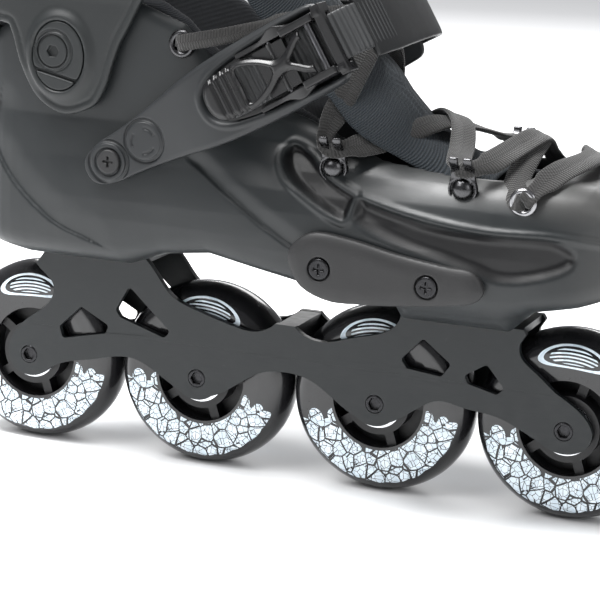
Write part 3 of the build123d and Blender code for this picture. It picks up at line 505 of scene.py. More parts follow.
def build(name, vertices, faces, material, attributes=None, smooth=True):
    """Mesh object from arrays in millimetres, with optional per-vertex numbers."""
    mesh = bpy.data.meshes.new(name)
    vertices = np.asarray(vertices, dtype=np.float32) * MM
    faces = np.asarray(faces, dtype=np.int32)
    mesh.vertices.add(len(vertices))
    mesh.vertices.foreach_set("co", vertices.ravel())
    mesh.loops.add(faces.size)
    mesh.loops.foreach_set("vertex_index", faces.ravel())
    mesh.polygons.add(len(faces))
    mesh.polygons.foreach_set("loop_start", np.arange(0, faces.size, faces.shape[1], dtype=np.int32))
    mesh.update(calc_edges=True)
    mesh.validate()
    mesh.polygons.foreach_set("use_smooth", np.full(len(mesh.polygons), smooth))
    for key, values in (attributes or {}).items():
        layer = mesh.attributes.new(key, "FLOAT", "POINT")
        layer.data.foreach_set("value", np.asarray(values, dtype=np.float32))
    mesh.materials.append(material)
    piece = bpy.data.objects.new(name, mesh)
    bpy.context.scene.collection.objects.link(piece)
    return piece


def spread(low, high, step):
    return np.arange(low, high + step, step)


def look_up(field, u, v, place_u, place_v):
    """Field value at each place, from the nearest grid node."""
    i = np.clip(np.rint((place_u - u[0]) / (u[1] - u[0])).astype(int), 0, len(u) - 1)
    j = np.clip(np.rint((place_v - v[0]) / (v[1] - v[0])).astype(int), 0, len(v) - 1)
    return field[i, j]


# ---------------------------------------------------------------------------
# Boot outlines, in millimetres, the same as in the CAD with rounder corners.
# ---------------------------------------------------------------------------
foot_top = curve_through([(-143, 0), (-133, -31), (-100, -41), (-50, -42.5), (0, -46), (60, -49.5),
    (110, -44), (143, -28), (158.5, 5), (146, 32), (110, 45), (60, 49.5), (0, 46), (-50, 42.5), (-100, 41),
    (-133, 31)])
ankle_half = [(0, 79), (30, 79), (35, 88), (43, 98), (48, 110), (48, 120), (43, 136), (39.6, 152),
    (39.5, 200), (39.5, 260), (0, 260)]
forefoot_half = [(0, 79), (30, 79), (36, 87), (45, 96), (49.3, 106), (49.5, 114), (47.5, 124), (43.5, 132),
    (36.5, 140), (29, 147), (24, 158), (22, 260), (0, 260)]
shell_profile = [(-113, 90), (-66, 90), (-48, 97), (-27, 100), (5, 94), (31, 88.3), (52, 87.5), (54, 80),
    (101, 80), (105, 87), (111, 91.5), (128, 95), (146, 101), (158, 110), (161, 118), (157, 127),
    (146, 136), (130, 142), (109, 145.5), (92, 144.5), (72, 144.5), (44, 147), (18, 157), (-8, 166),
    (-24, 180), (-38, 196), (-60, 204), (-112, 204), (-128, 188), (-142, 186), (-145, 160), (-146, 120),
    (-144, 102), (-134, 93)]
cavity_profile = [(-141, 112), (-125, 101), (-66, 101), (-34, 106), (5, 102), (50, 98), (120, 99),
    (144, 106), (156, 115), (152, 125), (141, 132), (127, 138), (112, 141), (107, 143), (103, 200),
    (60, 240), (-142, 240), (-142, 180)]


def mirrored(half):
    """Front outline from its half: goes up the inner side and comes down the outer side."""
    return np.array(half + [(-y, z) for y, z in reversed(half) if y > 0], dtype=float)


def foot_field(x, y, z, profile, shrink=0.0, rounding=9.0):
    """Foot-shaped body: side, top and front outlines with rounded meetings."""
    side = outline_field(np.array(profile, dtype=float), x, z)[:, None, :]
    top = outline_field(foot_top, x, y)[:, :, None] + shrink
    ankle = outline_field(mirrored(ankle_half), y, z)
    forefoot = outline_field(mirrored(forefoot_half), y, z)
    blend = fade(x, -34, 12)[:, None, None]
    front = ankle[None] * (1 - blend) + forefoot[None] * blend + shrink
    return soft_max(soft_max(top, front, rounding), side, rounding)


x_axis = spread(-150, 168, shell_step)
y_axis = spread(-54, 54, shell_step)
z_axis = spread(76, 210, shell_step)
side_grid = (x_axis, z_axis)

outer = foot_field(x_axis, y_axis, z_axis, shell_profile)
inner = foot_field(x_axis, y_axis, z_axis, cavity_profile, shrink=3.5, rounding=6.0)

# Moulded relief on both flanks: two hollows, two steps that fade away and a ridge.
long_recess_line = curve_through([(39.5, 131.8), (46, 130), (59.5, 126.9), (76, 124.2), (93, 123.3),
    (109, 123.5), (120, 122.6), (127.4, 117.6), (124.7, 110.9), (110.5, 105.6), (98, 104.5), (88, 107.5),
    (77.5, 110), (60.5, 113.8), (44, 120), (38.5, 124.5)])
pocket_line = curve_through([(3.5, 144.8), (5, 147), (7, 147.6), (14.3, 144.6), (24.4, 137.6), (32, 134.2),
    (36.6, 132.4), (37.4, 131.4), (35.6, 124.8), (34.6, 123.4), (33, 123.3), (28.1, 125.1), (18.2, 130.2),
    (8.1, 136.6), (4.2, 141.5)])
diagonal_line = np.array([(-40, 142), (-20, 128), (0, 115.5), (16, 107), (30, 101)], dtype=float)
heel_line = curve_through([(-127, 152), (-129, 138), (-118, 122), (-98, 107), (-82, 101)], closed=False)
ridge_line = curve_through([(34, 134), (62, 128), (92, 124.5), (118, 124.5), (136, 122)], closed=False)

long_recess_depth = 3.0
pocket_depth = 2.3
pocket_rim_height = 0.8
diagonal_depth = 1.5
heel_depth = 1.0
ridge_height = 1.1

long_recess = outline_field(long_recess_line, *side_grid)
pocket = outline_field(pocket_line, *side_grid)


def step_beside(line, depth, width):
    """Step along a line that fades out over a width on one side, and the length along the line."""
    distance, run, line_side = line_field(line, *side_grid)
    return depth * fade(line_side * distance, -0.5, 0.9) * fade(width - distance, 0, width), run


relief = long_recess_depth * fade(-long_recess, -1.2, 4.5)
relief += pocket_depth * fade(-pocket, -0.6, 2.6)
relief -= pocket_rim_height * fade(2.4 - np.abs(pocket - 1.6), 0, 2.0)
diagonal_step, diagonal_run = step_beside(diagonal_line, diagonal_depth, 9)
relief += diagonal_step * fade(diagonal_run, 2, 10)
relief += step_beside(heel_line, heel_depth, 14)[0]
ridge_distance, ridge_run, _ = line_field(ridge_line, *side_grid)
relief -= ridge_height * fade(2.4 - ridge_distance, 0, 2.2) * fade(ridge_run, 0, 20)
relief = relief[:, None, :]
outside_only = fade(np.abs(y_axis), 16, 28)[None, :, None]
outer = outer + relief * outside_only
inner = inner + np.maximum(relief, 0) * outside_only

# Flat seats under the slider plates.
seat_from_middle = 47.0
seat_line = np.array([(12.5, 113.5), (28, 118.8), (59, 113.8), (88.6, 109.8), (95, 102), (88, 95), (61, 91),
                      (31, 89), (14, 99)], dtype=float)
slider_seat = outline_field(seat_line, *side_grid)[:, None, :]
outer = soft_max(outer, -np.maximum(slider_seat, seat_from_middle - np.abs(y_axis)[None, :, None]), 0.8)
shell_field = soft_max(outer, -inner, 1.6)

# Round holes across the boot, for the pivots and the eyelets.
for (x, z), radius in ((cuff_pivot, 7.4), (rear_eyelet, 4.2), (front_eyelet, 4.2)):
    hole = np.hypot((x_axis - x)[:, None], (z_axis - z)[None, :])[:, None, :] - radius
    shell_field = soft_max(shell_field, -hole, 0.6)

vertices, quads = skin(shell_field, (x_axis, y_axis, z_axis))
on_side = np.abs(vertices[:, 1]) > 20
# Painted shade: the shell material colours the long recess and the pocket on each flank near-black,
# darkening their floors; the same mask also makes them a little glossier.
gloss = fade(-look_up(long_recess, *side_grid, vertices[:, 0], vertices[:, 2]), -1, 2)
gloss = np.maximum(
    gloss, fade(-look_up(pocket, *side_grid, vertices[:, 0], vertices[:, 2]), -1, 1)) * on_side
# Painted highlight: the shell material gives the top of the forefoot and the toe a lighter grey; the same
# mask also makes them a little rougher.
toe = fade(vertices[:, 2] - (150 - 0.21 * vertices[:, 0]), 0, 14) * fade(vertices[:, 0], 10, 40)
toe = np.maximum(toe, fade(vertices[:, 0], 118, 150) * 0.9)

shell_look = Nodes("shell_plastic", (0.010, 0.011, 0.012), 0.42)
recess_shade_and_gloss_mask = shell_look.attribute("gloss")
toe_highlight_mask = shell_look.attribute("toe")
cloud = shell_look.noise(16, 4)
base = shell_look.mix(cloud, (0.009, 0.011, 0.012), (0.014, 0.016, 0.017))
# Painted highlight: lighter grey over the top of the forefoot and the toe.
base = shell_look.mix(toe_highlight_mask, base, (0.045, 0.045, 0.044))
# Painted shade: near-black colour over the long recess and the pocket.
base = shell_look.mix(recess_shade_and_gloss_mask, base, (0.004, 0.004, 0.0045))
fine_scratch = shell_look.span(shell_look.noise(480, 7, 0.75), 0.62, 0.78, 0.0, 0.4)
shell_look.color(shell_look.mix(fine_scratch, base, (0.032, 0.033, 0.034)))
satin = shell_look.span(shell_look.noise(70, 4), 0.3, 0.7, 0.36, 0.46)
rough = shell_look.math("SUBTRACT", satin, shell_look.math("MULTIPLY", recess_shade_and_gloss_mask, 0.02))
shell_look.rough(shell_look.math("ADD", rough, shell_look.math("MULTIPLY", toe_highlight_mask, 0.04)))
shell_look.bump(shell_look.noise(1700, 2), 0.02)
shell_look.bump(shell_look.noise(120, 2), 0.05)

shell = build("boot_shell", vertices, quads, shell_look.material, {"gloss": gloss, "toe": toe})
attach(shell, "skate")
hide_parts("shell")


# ---------------------------------------------------------------------------
# Shared helpers for the smaller pieces.
# ---------------------------------------------------------------------------
def add_piece(name, mesh, material, body, slot, *replaced):
    """Builds a piece, puts it on a body, and hides the CAD nodes it stands for; slot is not used."""
    piece = build(name, *mesh, material)
    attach(piece, body)
    if replaced:
        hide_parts(*replaced)
    return piece


def joined(meshes):
    """One vertex array and one face array from several."""
    start = 0
    all_vertices, all_faces = [], []
    for vertices, faces in meshes:
        all_vertices.append(vertices)
        all_faces.append(faces + start)
        start += len(vertices)
    return np.concatenate(all_vertices), np.concatenate(all_faces)


def sided(vertices, faces, side):
    """Turns a mesh whose Y runs outward from the middle into a mesh on one side."""
    moved = vertices * np.array([1, side, 1])
    return moved, faces if side > 0 else faces[:, ::-1]


def both_sides(mesh):
    return joined([sided(*mesh, side) for side in SIDES])


def copies_at(mesh, places):
    """Copies of a mesh at (X, Z, distance from the middle), on both sides."""
    vertices, faces = mesh
    return joined([sided(vertices + np.array([x, y, z]), faces, side)
                   for x, z, y in places for side in SIDES])


def circle(count):
    return np.linspace(0, 2 * math.pi, count, endpoint=False)


def pressed_circle(count, flat_power, thick_power):
    """Points round a circle that is pressed towards a rectangle."""
    flat, thick = np.cos(circle(count)), np.sin(circle(count))
    return np.sign(flat) * np.abs(flat) ** flat_power, np.sign(thick) * np.abs(thick) ** thick_power


def loft(rings, closed=False):
    """Quads through equal rings of points, with flat ends unless it is closed."""
    rings = np.asarray(rings, dtype=float)
    count, around = rings.shape[:2]
    index = np.arange(count * around).reshape(count, around)
    if closed:
        index = np.concatenate([index, index[:1]])
    a, b = index[:-1], index[1:]
    quads = np.stack([a, np.roll(a, -1, 1), np.roll(b, -1, 1), b], -1).reshape(-1, 4)
    if not closed:
        half = np.arange(around // 2 - 1)
        cap = np.stack([half, half + 1, around - 2 - half, around - 1 - half], -1)
        quads = np.concatenate([quads, index[0][cap][:, ::-1], index[-1][cap]])
    return rings.reshape(-1, 3), quads


def plate(flat, low, face, axes, rounding):
    """Plate over a flat field: from a low plane up to a face whose height may vary over the field."""
    height = axes[1][None, :, None]
    return soft_max(flat[:, None, :], between(height, low, face[:, None, :]), rounding)


def disc_field(u, v, radius, axes):
    """Round bar along the middle axis."""
    return np.hypot((axes[0] - u)[:, None], (axes[2] - v)[None, :])[:, None, :] - radius


# ---------------------------------------------------------------------------
# Cuff: a bent wall with a raised oval boss round each pivot.
# ---------------------------------------------------------------------------
cuff_profile = [(-150, 190), (-122, 189), (-116.8, 186), (-112.5, 173.4), (-105.8, 161.2), (-98, 155),
    (-89.7, 153.1), (-80.3, 156.1), (-75.7, 159.7), (-71.8, 167.4), (-69.6, 174.9), (-66.3, 184),
    (-62.5, 191), (-56.4, 202.8), (-40, 232), (-30, 262), (-25, 286), (-34, 297), (-80, 303), (-135, 301),
    (-151, 292)]
cuff_top = curve_through([(-146, 0), (-138, -33), (-112, -47.5), (-60, -49.5), (-20, -46), (10, -34),
    (22, 0), (10, 34), (-20, 46), (-60, 49.5), (-112, 47.5), (-138, 33)])
cuff_half = [(0, 130), (43.9, 130), (43.9, 200), (45.5, 222), (47.1, 242), (47.1, 320), (0, 320)]


def leg_field(axes, shrink):
    """Leg-shaped column: top and front outlines, drawn smaller by shrink."""
    top = outline_field(cuff_top, axes[0], axes[1])[:, :, None]
    front = outline_field(mirrored(cuff_half), axes[1], axes[2])[None]
    return soft_max(top, front, 8.0) + shrink


cuff_axes = (spread(-153, -20, wall_step), spread(-54, 54, wall_step), spread(148, 306, wall_step))
cuff_side_grid = (cuff_axes[0], cuff_axes[2])
cuff_side_field = outline_field(curve_through(cuff_profile, 4), *cuff_side_grid)


boss_centre = (-93.4, 177.3)


def oval(half_x, half_z):
    """Distance to an oval round the middle of the boss."""
    x, z = boss_centre
    across = (cuff_axes[0] - x)[:, None] / half_x
    rise = (cuff_axes[2] - z)[None, :] / half_z
    return (np.hypot(across, rise) - 1) * min(half_x, half_z)


boss_height = 1.9
rim_groove_depth = 0.5
rim_line = np.abs(cuff_side_field + 3.4)
cuff_relief = -boss_height * fade(-oval(14.2, 17.0), -2.6, 1.2)
cuff_relief += boss_height * fade(-oval(12.2, 14.8), -0.3, 0.8)
cuff_relief += rim_groove_depth * fade(0.9 - rim_line, 0, 0.8)
on_flank = fade(np.abs(cuff_axes[1]), 26, 34)[None, :, None]
cuff_outside = leg_field(cuff_axes, 0.0) + cuff_relief[:, None, :] * on_flank
cuff_thickness = 3.2
cuff_front = -24.5
edge_rounding = 1.4
pivot_hole = 7.1
cuff_wall = soft_max(cuff_outside, -leg_field(cuff_axes, cuff_thickness), edge_rounding)
cuff_wall = soft_max(cuff_wall, cuff_side_field[:, None, :], edge_rounding)
cuff_wall = soft_max(cuff_wall, (cuff_axes[0] - cuff_front)[:, None, None], edge_rounding)
cuff_wall = soft_max(cuff_wall, -disc_field(*cuff_pivot, pivot_hole, cuff_axes), 0.4)

cuff_plastic = moulded("cuff_plastic", (0.0105, 0.012, 0.0125), 0.44, grain_depth=0.03, scuffs=0.3)
add_piece("boot_cuff", skin(cuff_wall, cuff_axes), cuff_plastic, "cuff_assembly", "cuff_plastic", "cuff")

# Two inserts fill the oval boss: a large one round the pivot and a small one below its chord.
insert_axes = (spread(-108, -79, fine), spread(42, 48, fine), spread(160, 195, fine))
insert_x, insert_z = insert_axes[0][:, None], insert_axes[2][None, :]
insert_half_x, insert_half_z = 11.6, 14.2
insert_oval = np.hypot((insert_x - boss_centre[0]) / insert_half_x,
                       (insert_z - boss_centre[1]) / insert_half_z) - 1
insert_oval *= insert_half_x
chord = (insert_z - 169.4) + 0.21 * (insert_x + 94.4)
insert_ring = np.hypot(insert_x + 95.6, insert_z - 179.2) - 8.4
insert_face = 45.3 - 0.8 * fade(0.9 - np.abs(insert_ring), 0, 0.7)
inserts = []
for part in (0.7 - chord, chord + 0.7):
    field = plate(soft_max(insert_oval, part, 0.8), 42.6, insert_face, insert_axes, 0.5)
    field = soft_max(field, -disc_field(*cuff_pivot, pivot_hole, insert_axes), 0.3)
    inserts.append(both_sides(skin(field, insert_axes)))
add_piece("pivot_inserts", joined(inserts), cuff_plastic, "cuff_assembly", "cuff_plastic")

# ---------------------------------------------------------------------------
# Screws: shallow heads with a driver recess.
# ---------------------------------------------------------------------------
def screw_head(radius, height, recess, depth):
    """Head whose top is at height, standing on zero; recess is a field on the side grid."""
    fine_step = 0.25
    flat_axis = spread(-radius - 1, radius + 1, fine_step)
    axes = (flat_axis, spread(-2, height + 1, fine_step), flat_axis)
    body = soft_max(disc_field(0, 0, radius, axes), between(axes[1], -1, height)[None, :, None], 0.7)
    cut = recess(axes[0], axes[2])[:, None, :]
    hole = np.maximum(cut, (height - depth - axes[1])[None, :, None])
    return skin(soft_max(body, -hole, 0.2), axes)


def cross_recess(u, v):
    """Crossed slots."""
    reach, half_width = 2.3, 0.5
    across, rise = np.abs(u)[:, None], np.abs(v)[None, :]
    return np.minimum(np.maximum(across - reach, rise - half_width),
                      np.maximum(rise - reach, across - half_width))


def hex_recess(u, v):
    """Hexagon, for a socket key."""
    corner_radius = 2.7
    turns = np.radians(np.arange(0, 360, 60))
    return outline_field(np.stack((corner_radius * np.cos(turns), corner_radius * np.sin(turns)), 1), u, v)


slider_heads = copies_at(screw_head(4.3, 1.4, cross_recess, 1.2),
                         [(*place, 50.4) for place in slider_screws])
add_piece("slider_screw_heads", slider_heads, black_screw, "skate", "bolt_steel", "slider_screws")
anchor_heads = copies_at(screw_head(4.9, 1.4, cross_recess, 1.2), [(*strap_screw, 47.6)])
add_piece("anchor_screw_heads", anchor_heads, slider_plastic, "skate", "bolt_steel", "strap_anchor_screws")

# Axles: plain shafts whose small socket heads end flush with the frame walls.
axle_radius = 3.9
shaft_half_length = 12.2
axle_heads = copies_at(screw_head(3.95, 3.0, hex_recess, 2.0), [(x, axle_height, 12.7) for x in axle_xs])
shafts = []
for axle_x in axle_xs:
    ring_x = axle_x + axle_radius * np.cos(circle(24))
    ring_z = axle_height - axle_radius * np.sin(circle(24))
    shafts.append(loft([np.stack((ring_x, np.full(24, y), ring_z), 1)
                        for y in (-shaft_half_length, shaft_half_length)]))
add_piece("axle_set", joined([axle_heads] + shafts), black_screw, "skate", "axle_steel", "axles")

pivot_heads = copies_at(screw_head(6.6, 1.2, hex_recess, 1.6), [(*cuff_pivot, 43.7)])
add_piece("pivot_screw_heads", pivot_heads, cuff_plastic, "skate", "bolt_steel", "cuff_pivot_screws")

# ---------------------------------------------------------------------------
# Slider plates: domed, with a countersink round each screw.
# ---------------------------------------------------------------------------
slider_curve = curve_through([(13, 104), (15, 112), (24, 117.3), (40, 116), (59, 112.3), (78, 109.8),
    (90, 108.6), (94.6, 102), (91, 96.5), (80, 94), (61, 91.6), (45, 90.3), (31, 90), (19, 94.5)])
slider_axes = (spread(8, 100, fine), spread(44, 54, fine), spread(84, 122, fine))
slider_flat = outline_field(slider_curve, slider_axes[0], slider_axes[2])
slider_height = slider_axes[1][None, :, None]
dome_width = 7.0
slider_face = 49.2 + 2.6 * np.sqrt(np.clip(1 - np.clip(1 + slider_flat / dome_width, 0, 1) ** 2, 0, 1))
slider_body = np.maximum(slider_flat[:, None, :] * 0.8,
                         between(slider_height, 47.05, slider_face[:, None, :]))
for x, z in slider_screws:
    countersink = np.maximum(disc_field(x, z, 4.9, slider_axes), 50.4 - slider_height)
    slider_body = soft_max(slider_body, -countersink, 0.5)
add_piece("slider_plates", both_sides(skin(slider_body, slider_axes)), slider_plastic,
          "skate", "slider_plastic", "outer_slider", "inner_slider")

# ---------------------------------------------------------------------------
# Padding: liner, collar and tongue.
# ---------------------------------------------------------------------------
def woven(name, color, other, thread_mm, depth, rough=0.9, sheen=0.25):
    """Knitted or woven cloth: crossed threads, uneven dye and a soft sheen."""
    m = Nodes(name, color, rough, sheen=sheen)
    scale = 2 * math.pi / (thread_mm * MM)
    x, y, z = m.axes()
    scaled_x, scaled_z = m.product(x, scale), m.product(z, scale)
    along = m.math("ADD", scaled_x, scaled_z)
    across = m.math("ADD", m.math("SUBTRACT", scaled_x, scaled_z), m.product(y, scale * 1.3))
    weave = m.product(m.math("SINE", along), m.math("SINE", across))
    fibre = m.noise(2600, 3)
    m.color(m.mix(m.span(weave, -1, 1, 0, 1), m.mix(m.noise(40, 4), color, other),
                  tuple(c * 2.4 for c in other)))
    m.rough(m.span(fibre, 0.3, 0.7, rough - 0.1, rough + 0.05))
    m.bump(weave, depth)
    m.bump(fibre, depth * 0.5)
    return m.material


liner_cloth = woven("liner_fabric", (0.0022, 0.0025, 0.0033), (0.007, 0.008, 0.010), 1.1, 0.12,
                    sheen=0.08)
tongue_cloth = woven("tongue_mesh", (0.005, 0.008, 0.011), (0.009, 0.013, 0.017), 1.5, 0.35, sheen=0.1)

liner_profile = [(-140, 116), (-125, 106), (-66, 105.6), (-34, 110.6), (5, 106.6), (50, 102.6),
    (120, 103.6), (138, 107.6), (149, 111), (153, 117), (149, 124), (139, 131), (126, 136), (106, 138),
    (92, 138), (43, 141), (15, 156), (-14, 172), (-40, 196), (-52, 202.5), (-140, 202.5)]
liner_space = [(-138, 120), (-125, 111), (-66, 110.6), (-34, 115.6), (5, 111.6), (50, 107.6), (120, 108.6),
    (136, 113), (145, 118), (136, 126), (122, 131), (100, 135), (88, 170), (-20, 260), (-138, 260)]
liner_axes = (spread(-146, 160, soft_step), spread(-50, 50, soft_step), spread(98, 208, soft_step))
liner_field = soft_max(foot_field(*liner_axes, liner_profile, shrink=3.9, rounding=6.0),
                       -foot_field(*liner_axes, liner_space, shrink=9.0, rounding=6.0), 2.5)
# Hollows that clear the nuts, the screw ends and the eyelets.
hollow_from_middle = 33.6
liner_hollows = ((cuff_pivot, 9.4), (strap_screw, 2.6), ((26.5, 142), 2.2), ((82, 139.5), 2.2),
    (rear_eyelet, 4.6), (front_eyelet, 4.6))
for place, radius in liner_hollows:
    hollow = np.maximum(disc_field(*place, radius, liner_axes),
                        (hollow_from_middle - np.abs(liner_axes[1]))[None, :, None])
    liner_field = soft_max(liner_field, -hollow, 0.6)
liner = add_piece("boot_liner", skin(liner_field, liner_axes), liner_cloth, "skate", "liner_fabric",
                  "liner")

collar_profile = curve_through([(-150, 208), (-100, 208), (-62, 212), (-50, 220), (-37, 242), (-29.5, 266),
    (-28.5, 292), (-36, 304), (-80, 309), (-130, 307.5), (-150, 298)], 4)
collar_axes = (spread(-148, -22, soft_step), spread(-46, 46, soft_step), spread(204, 314, soft_step))
collar_side = outline_field(collar_profile, collar_axes[0], collar_axes[2])[:, None, :]
seam_heights = (238, 262, 284)
from_seam = np.minimum.reduce([np.abs(collar_axes[2] - z) for z in seam_heights])
pillow = 1.3 * np.clip(1 - (from_seam / 10), 0, 1) ** 2
collar_inside = leg_field(collar_axes, 10.6) - pillow[None, None, :]
collar_field = soft_max(leg_field(collar_axes, 3.7), -collar_inside, 4.0)
collar_field = soft_max(collar_field, collar_side, 5.0)
collar = add_piece("liner_collar_pad", skin(collar_field, collar_axes), liner_cloth,
                   "cuff_assembly", "liner_fabric", "liner_collar")

tongue_line = curve_through([(88, 143.5), (68, 150), (50, 163), (34, 181), (6, 207), (-12, 232), (-18, 262),
    (-20, 305)], 9, closed=False)
tongue_half_width = 26.0
tongue_widening = 8.0
tongue_thickness = 6.0
tongue_sag = 8.0
tongue_extra_sag = 6.0


def tongue_rings():
    """Curved pad cross-sections along the tongue, thicker between its sewn channels."""
    rings = []
    tangents = np.gradient(tongue_line, axis=0)
    count = len(tongue_line)
    flat, thick = np.cos(circle(40)), np.sin(circle(40))
    across = np.sign(flat) * np.abs(flat) ** 0.75
    for row, ((x, z), (tangent_x, tangent_z)) in enumerate(zip(tongue_line, tangents)):
        outward = np.array([tangent_z, 0, -tangent_x]) / math.hypot(tangent_x, tangent_z)
        puff = 0.82 + 0.18 * abs(math.sin(row * 0.42))
        taper = fade(row, -1, 4) * (1 - 0.55 * fade(row, count - 5, count))
        wide = fade(z, 150, 172) * (1 - fade(z, 214, 250))
        depth = tongue_thickness / 2 * (thick * puff * taper - 1)
        sag = (tongue_sag + tongue_extra_sag * wide) * across ** 2
        half = tongue_half_width + tongue_widening * wide
        ring = np.stack((np.full(40, x), across * half, np.full(40, z)), 1)
        rings.append(ring + outward * (depth - sag)[:, None])
    return rings


tongue = add_piece("tongue_pad", loft(tongue_rings()), tongue_cloth, "skate", "tongue_mesh", "tongue")

# ---------------------------------------------------------------------------
# Buckled straps, in strap coordinates: s along the strap, h outward, t across.
# ---------------------------------------------------------------------------
def on_strap(vertices, origin, angle, seat=0.0, side=-1):
    """Moves points from strap coordinates to one side of the boot."""
    s, h, t = vertices.T
    c, n = math.cos(math.radians(angle)), math.sin(math.radians(angle))
    return np.stack((origin[0] + s * c - t * n, side * (h + seat), origin[1] + s * n + t * c), 1)


def strap_mesh(field, axes, origin, angle, seat=0.0, side=-1):
    """Skin of a field in strap coordinates, on one side of the boot."""
    vertices, faces = skin(field, axes)
    return on_strap(vertices, origin, angle, seat, side), faces if side > 0 else faces[:, ::-1]


def both_ways(half):
    """Closed outline from its upper half, mirrored across the strap's middle."""
    return np.array(half + [(s, -t) for s, t in reversed(half) if t != 0], dtype=float)


instep = ((-62, 140), 31)
cuff_closure = ((-130, 264), 0)

strap_outline = curve_through(both_ways([(-19.5, 0), (-17.5, 5.5), (-10, 8.8), (0, 9.6), (12, 10.8),
    (25, 12.8), (41, 15.6), (56, 17.0), (75, 17.6), (95, 17.4), (103, 16), (105, 9), (105, 0)]), 4)
recess_outline = curve_through(both_ways([(43.0, 0), (44.5, 5.5), (50, 9.8), (60, 12.2), (75, 13.6),
    (92, 14.4), (104, 14.4), (116, 12), (118, 0)]), 4)
strap_axes = (spread(-22, 108, fine), spread(41, 54, fine), spread(-20, 20, fine))
strap_grid = (strap_axes[0], strap_axes[2])
strap_flat = outline_field(strap_outline, *strap_grid)
strap_recess = outline_field(recess_outline, *strap_grid)
rise = fade(strap_axes[0], 6, 44)[:, None]
strap_face = 46.3 + 3.9 * rise - 3.6 * fade(-strap_recess, -0.2, 1.6)
strap_face += 0.5 * fade(1.6 - np.abs(strap_recess - 1.4), 0, 1.4)
strap_face -= 1.2 * fade(2.2 + strap_flat, 0, 3.4) * rise
screw_end, mark_end = (-8.0, 0.0), (11.0, 0.6)


def flat_disc(axes, centre, radius):
    """Distance to a circle in strap coordinates."""
    return np.hypot((axes[0] - centre[0])[:, None], (axes[2] - centre[1])[None, :]) - radius


anchor_pair = np.minimum(flat_disc(strap_axes, screw_end, 8.4), flat_disc(strap_axes, mark_end, 8.4))
strap_face -= 0.7 * fade(0.8 - np.abs(anchor_pair - 0.4), 0, 0.6)
strap_seat = 43.1
outer_arm = plate(strap_flat, strap_seat, strap_face, strap_axes, 0.9)
inner_arm = plate(strap_flat, strap_seat, 46.2 - 0.6 * fade(2.0 + strap_flat, 0, 3.0), strap_axes, 0.9)
strap_plastic = moulded("strap_plastic", (0.0125, 0.0138, 0.015), 0.46, grain_depth=0.02, scuffs=0.25)
strap_arms = joined([strap_mesh(outer_arm, strap_axes, *instep),
                     strap_mesh(inner_arm, strap_axes, *instep, side=1)])
add_piece("instep_strap_arms", strap_arms, strap_plastic, "skate", "strap_plastic", "instep_strap")

# Anchor plates: two joined discs with a screw and a plain turned mark.
plate_axes = (spread(-20, 24, fine), spread(44, 50, fine), spread(-12, 12, fine))
screw_disc = flat_disc(plate_axes, screw_end, 7.8)
mark_disc = flat_disc(plate_axes, mark_end, 7.8)
mark_angle = np.arctan2((plate_axes[2] - mark_end[1])[None, :], (plate_axes[0] - mark_end[0])[:, None])
plate_face = 47.4 - 0.7 * fade(0.7 - np.abs(screw_disc + 2.4), 0, 0.5)
plate_face -= 0.6 * fade(0.6 - np.abs(mark_disc + 2.6), 0, 0.4) * (np.sin(3 * mark_angle) > 0)
plate_body = plate(soft_min(screw_disc, mark_disc, 3.0), 45.2, plate_face, plate_axes, 0.5)
anchor_plates = joined([strap_mesh(plate_body, plate_axes, *instep, side=side) for side in SIDES])
add_piece("anchor_plates", anchor_plates, strap_plastic, "skate", "plate_plastic", "strap_anchor_plates")

# Lever: a ribbed tip, a crossed waist with two windows and a barrel end.
lever_outline = curve_through(both_ways([(47.8, 0), (48.6, 4.5), (51.5, 8.0), (57, 9.6), (64, 9.9),
    (70, 9.4), (76, 7.0), (81, 3.9), (84.5, 3.2), (88, 4.2), (92, 7.2), (96, 9.0), (100, 9.2), (102.5, 8.4),
    (102.8, 0)]), 4)
long_window = curve_through(
    both_ways([(65.5, 0), (65.5, 7.0), (70, 6.6), (75, 4.4), (79, 1.6), (79.6, 0)]), 3)
end_window = curve_through(both_ways([(88.6, 0), (91.5, 2.6), (95.2, 5.3), (96.8, 4.6), (97, 0)]), 3)
lever_axes = (spread(46, 105, fine), spread(50, 61, fine), spread(-12, 12, fine))
lever_grid = (lever_axes[0], lever_axes[2])
pin_s, pin_h = 100, 53.2
s = lever_axes[0][:, None, None]
h = lever_axes[1][None, :, None]
across = np.abs(lever_axes[2])[None, None, :]
from_pin = np.hypot(s - pin_s, h - pin_h)
lever_flat = outline_field(lever_outline, *lever_grid)
windows = np.minimum(outline_field(long_window, *lever_grid), outline_field(end_window, *lever_grid))
lever_top = 58.3 - 1.6 * fade(2.4 + lever_flat, 0, 2.4) - 0.9 * fade(1.4 - windows, 0, 1.4)
lever_top += 0.7 * fade(62 - lever_axes[0], 0, 8)[:, None]
for groove in (54.5, 57.6, 60.7, 63.4):
    lever_top -= 1.0 * fade(1.0 - np.abs(lever_axes[0] - groove), 0, 0.7)[:, None]
lever_body = plate(lever_flat, 56.0, lever_top, lever_axes, 0.7)
foot = np.maximum(across - 8.6, 0) + np.maximum(np.abs(s - pin_s) - 2.4, between(h, pin_h, 57.0))
barrel = np.maximum(from_pin - 2.7, across - 9.4)
lever_body = soft_min(lever_body, soft_min(foot, barrel, 0.8), 0.8)
# Behind the pin the lever stays within a small circle, so that it clears the bridge as it swings.
waist_s = 96.5
past_pin = np.minimum(s - waist_s, np.maximum(s - waist_s, from_pin - 4.2))
lever_body = soft_max(lever_body, past_pin, 0.4)
lever_body = soft_max(lever_body, -np.maximum(windows[:, None, :], 55.9 - h), 0.5)
lever_body = soft_max(lever_body, 1.6 - from_pin, 0.2)

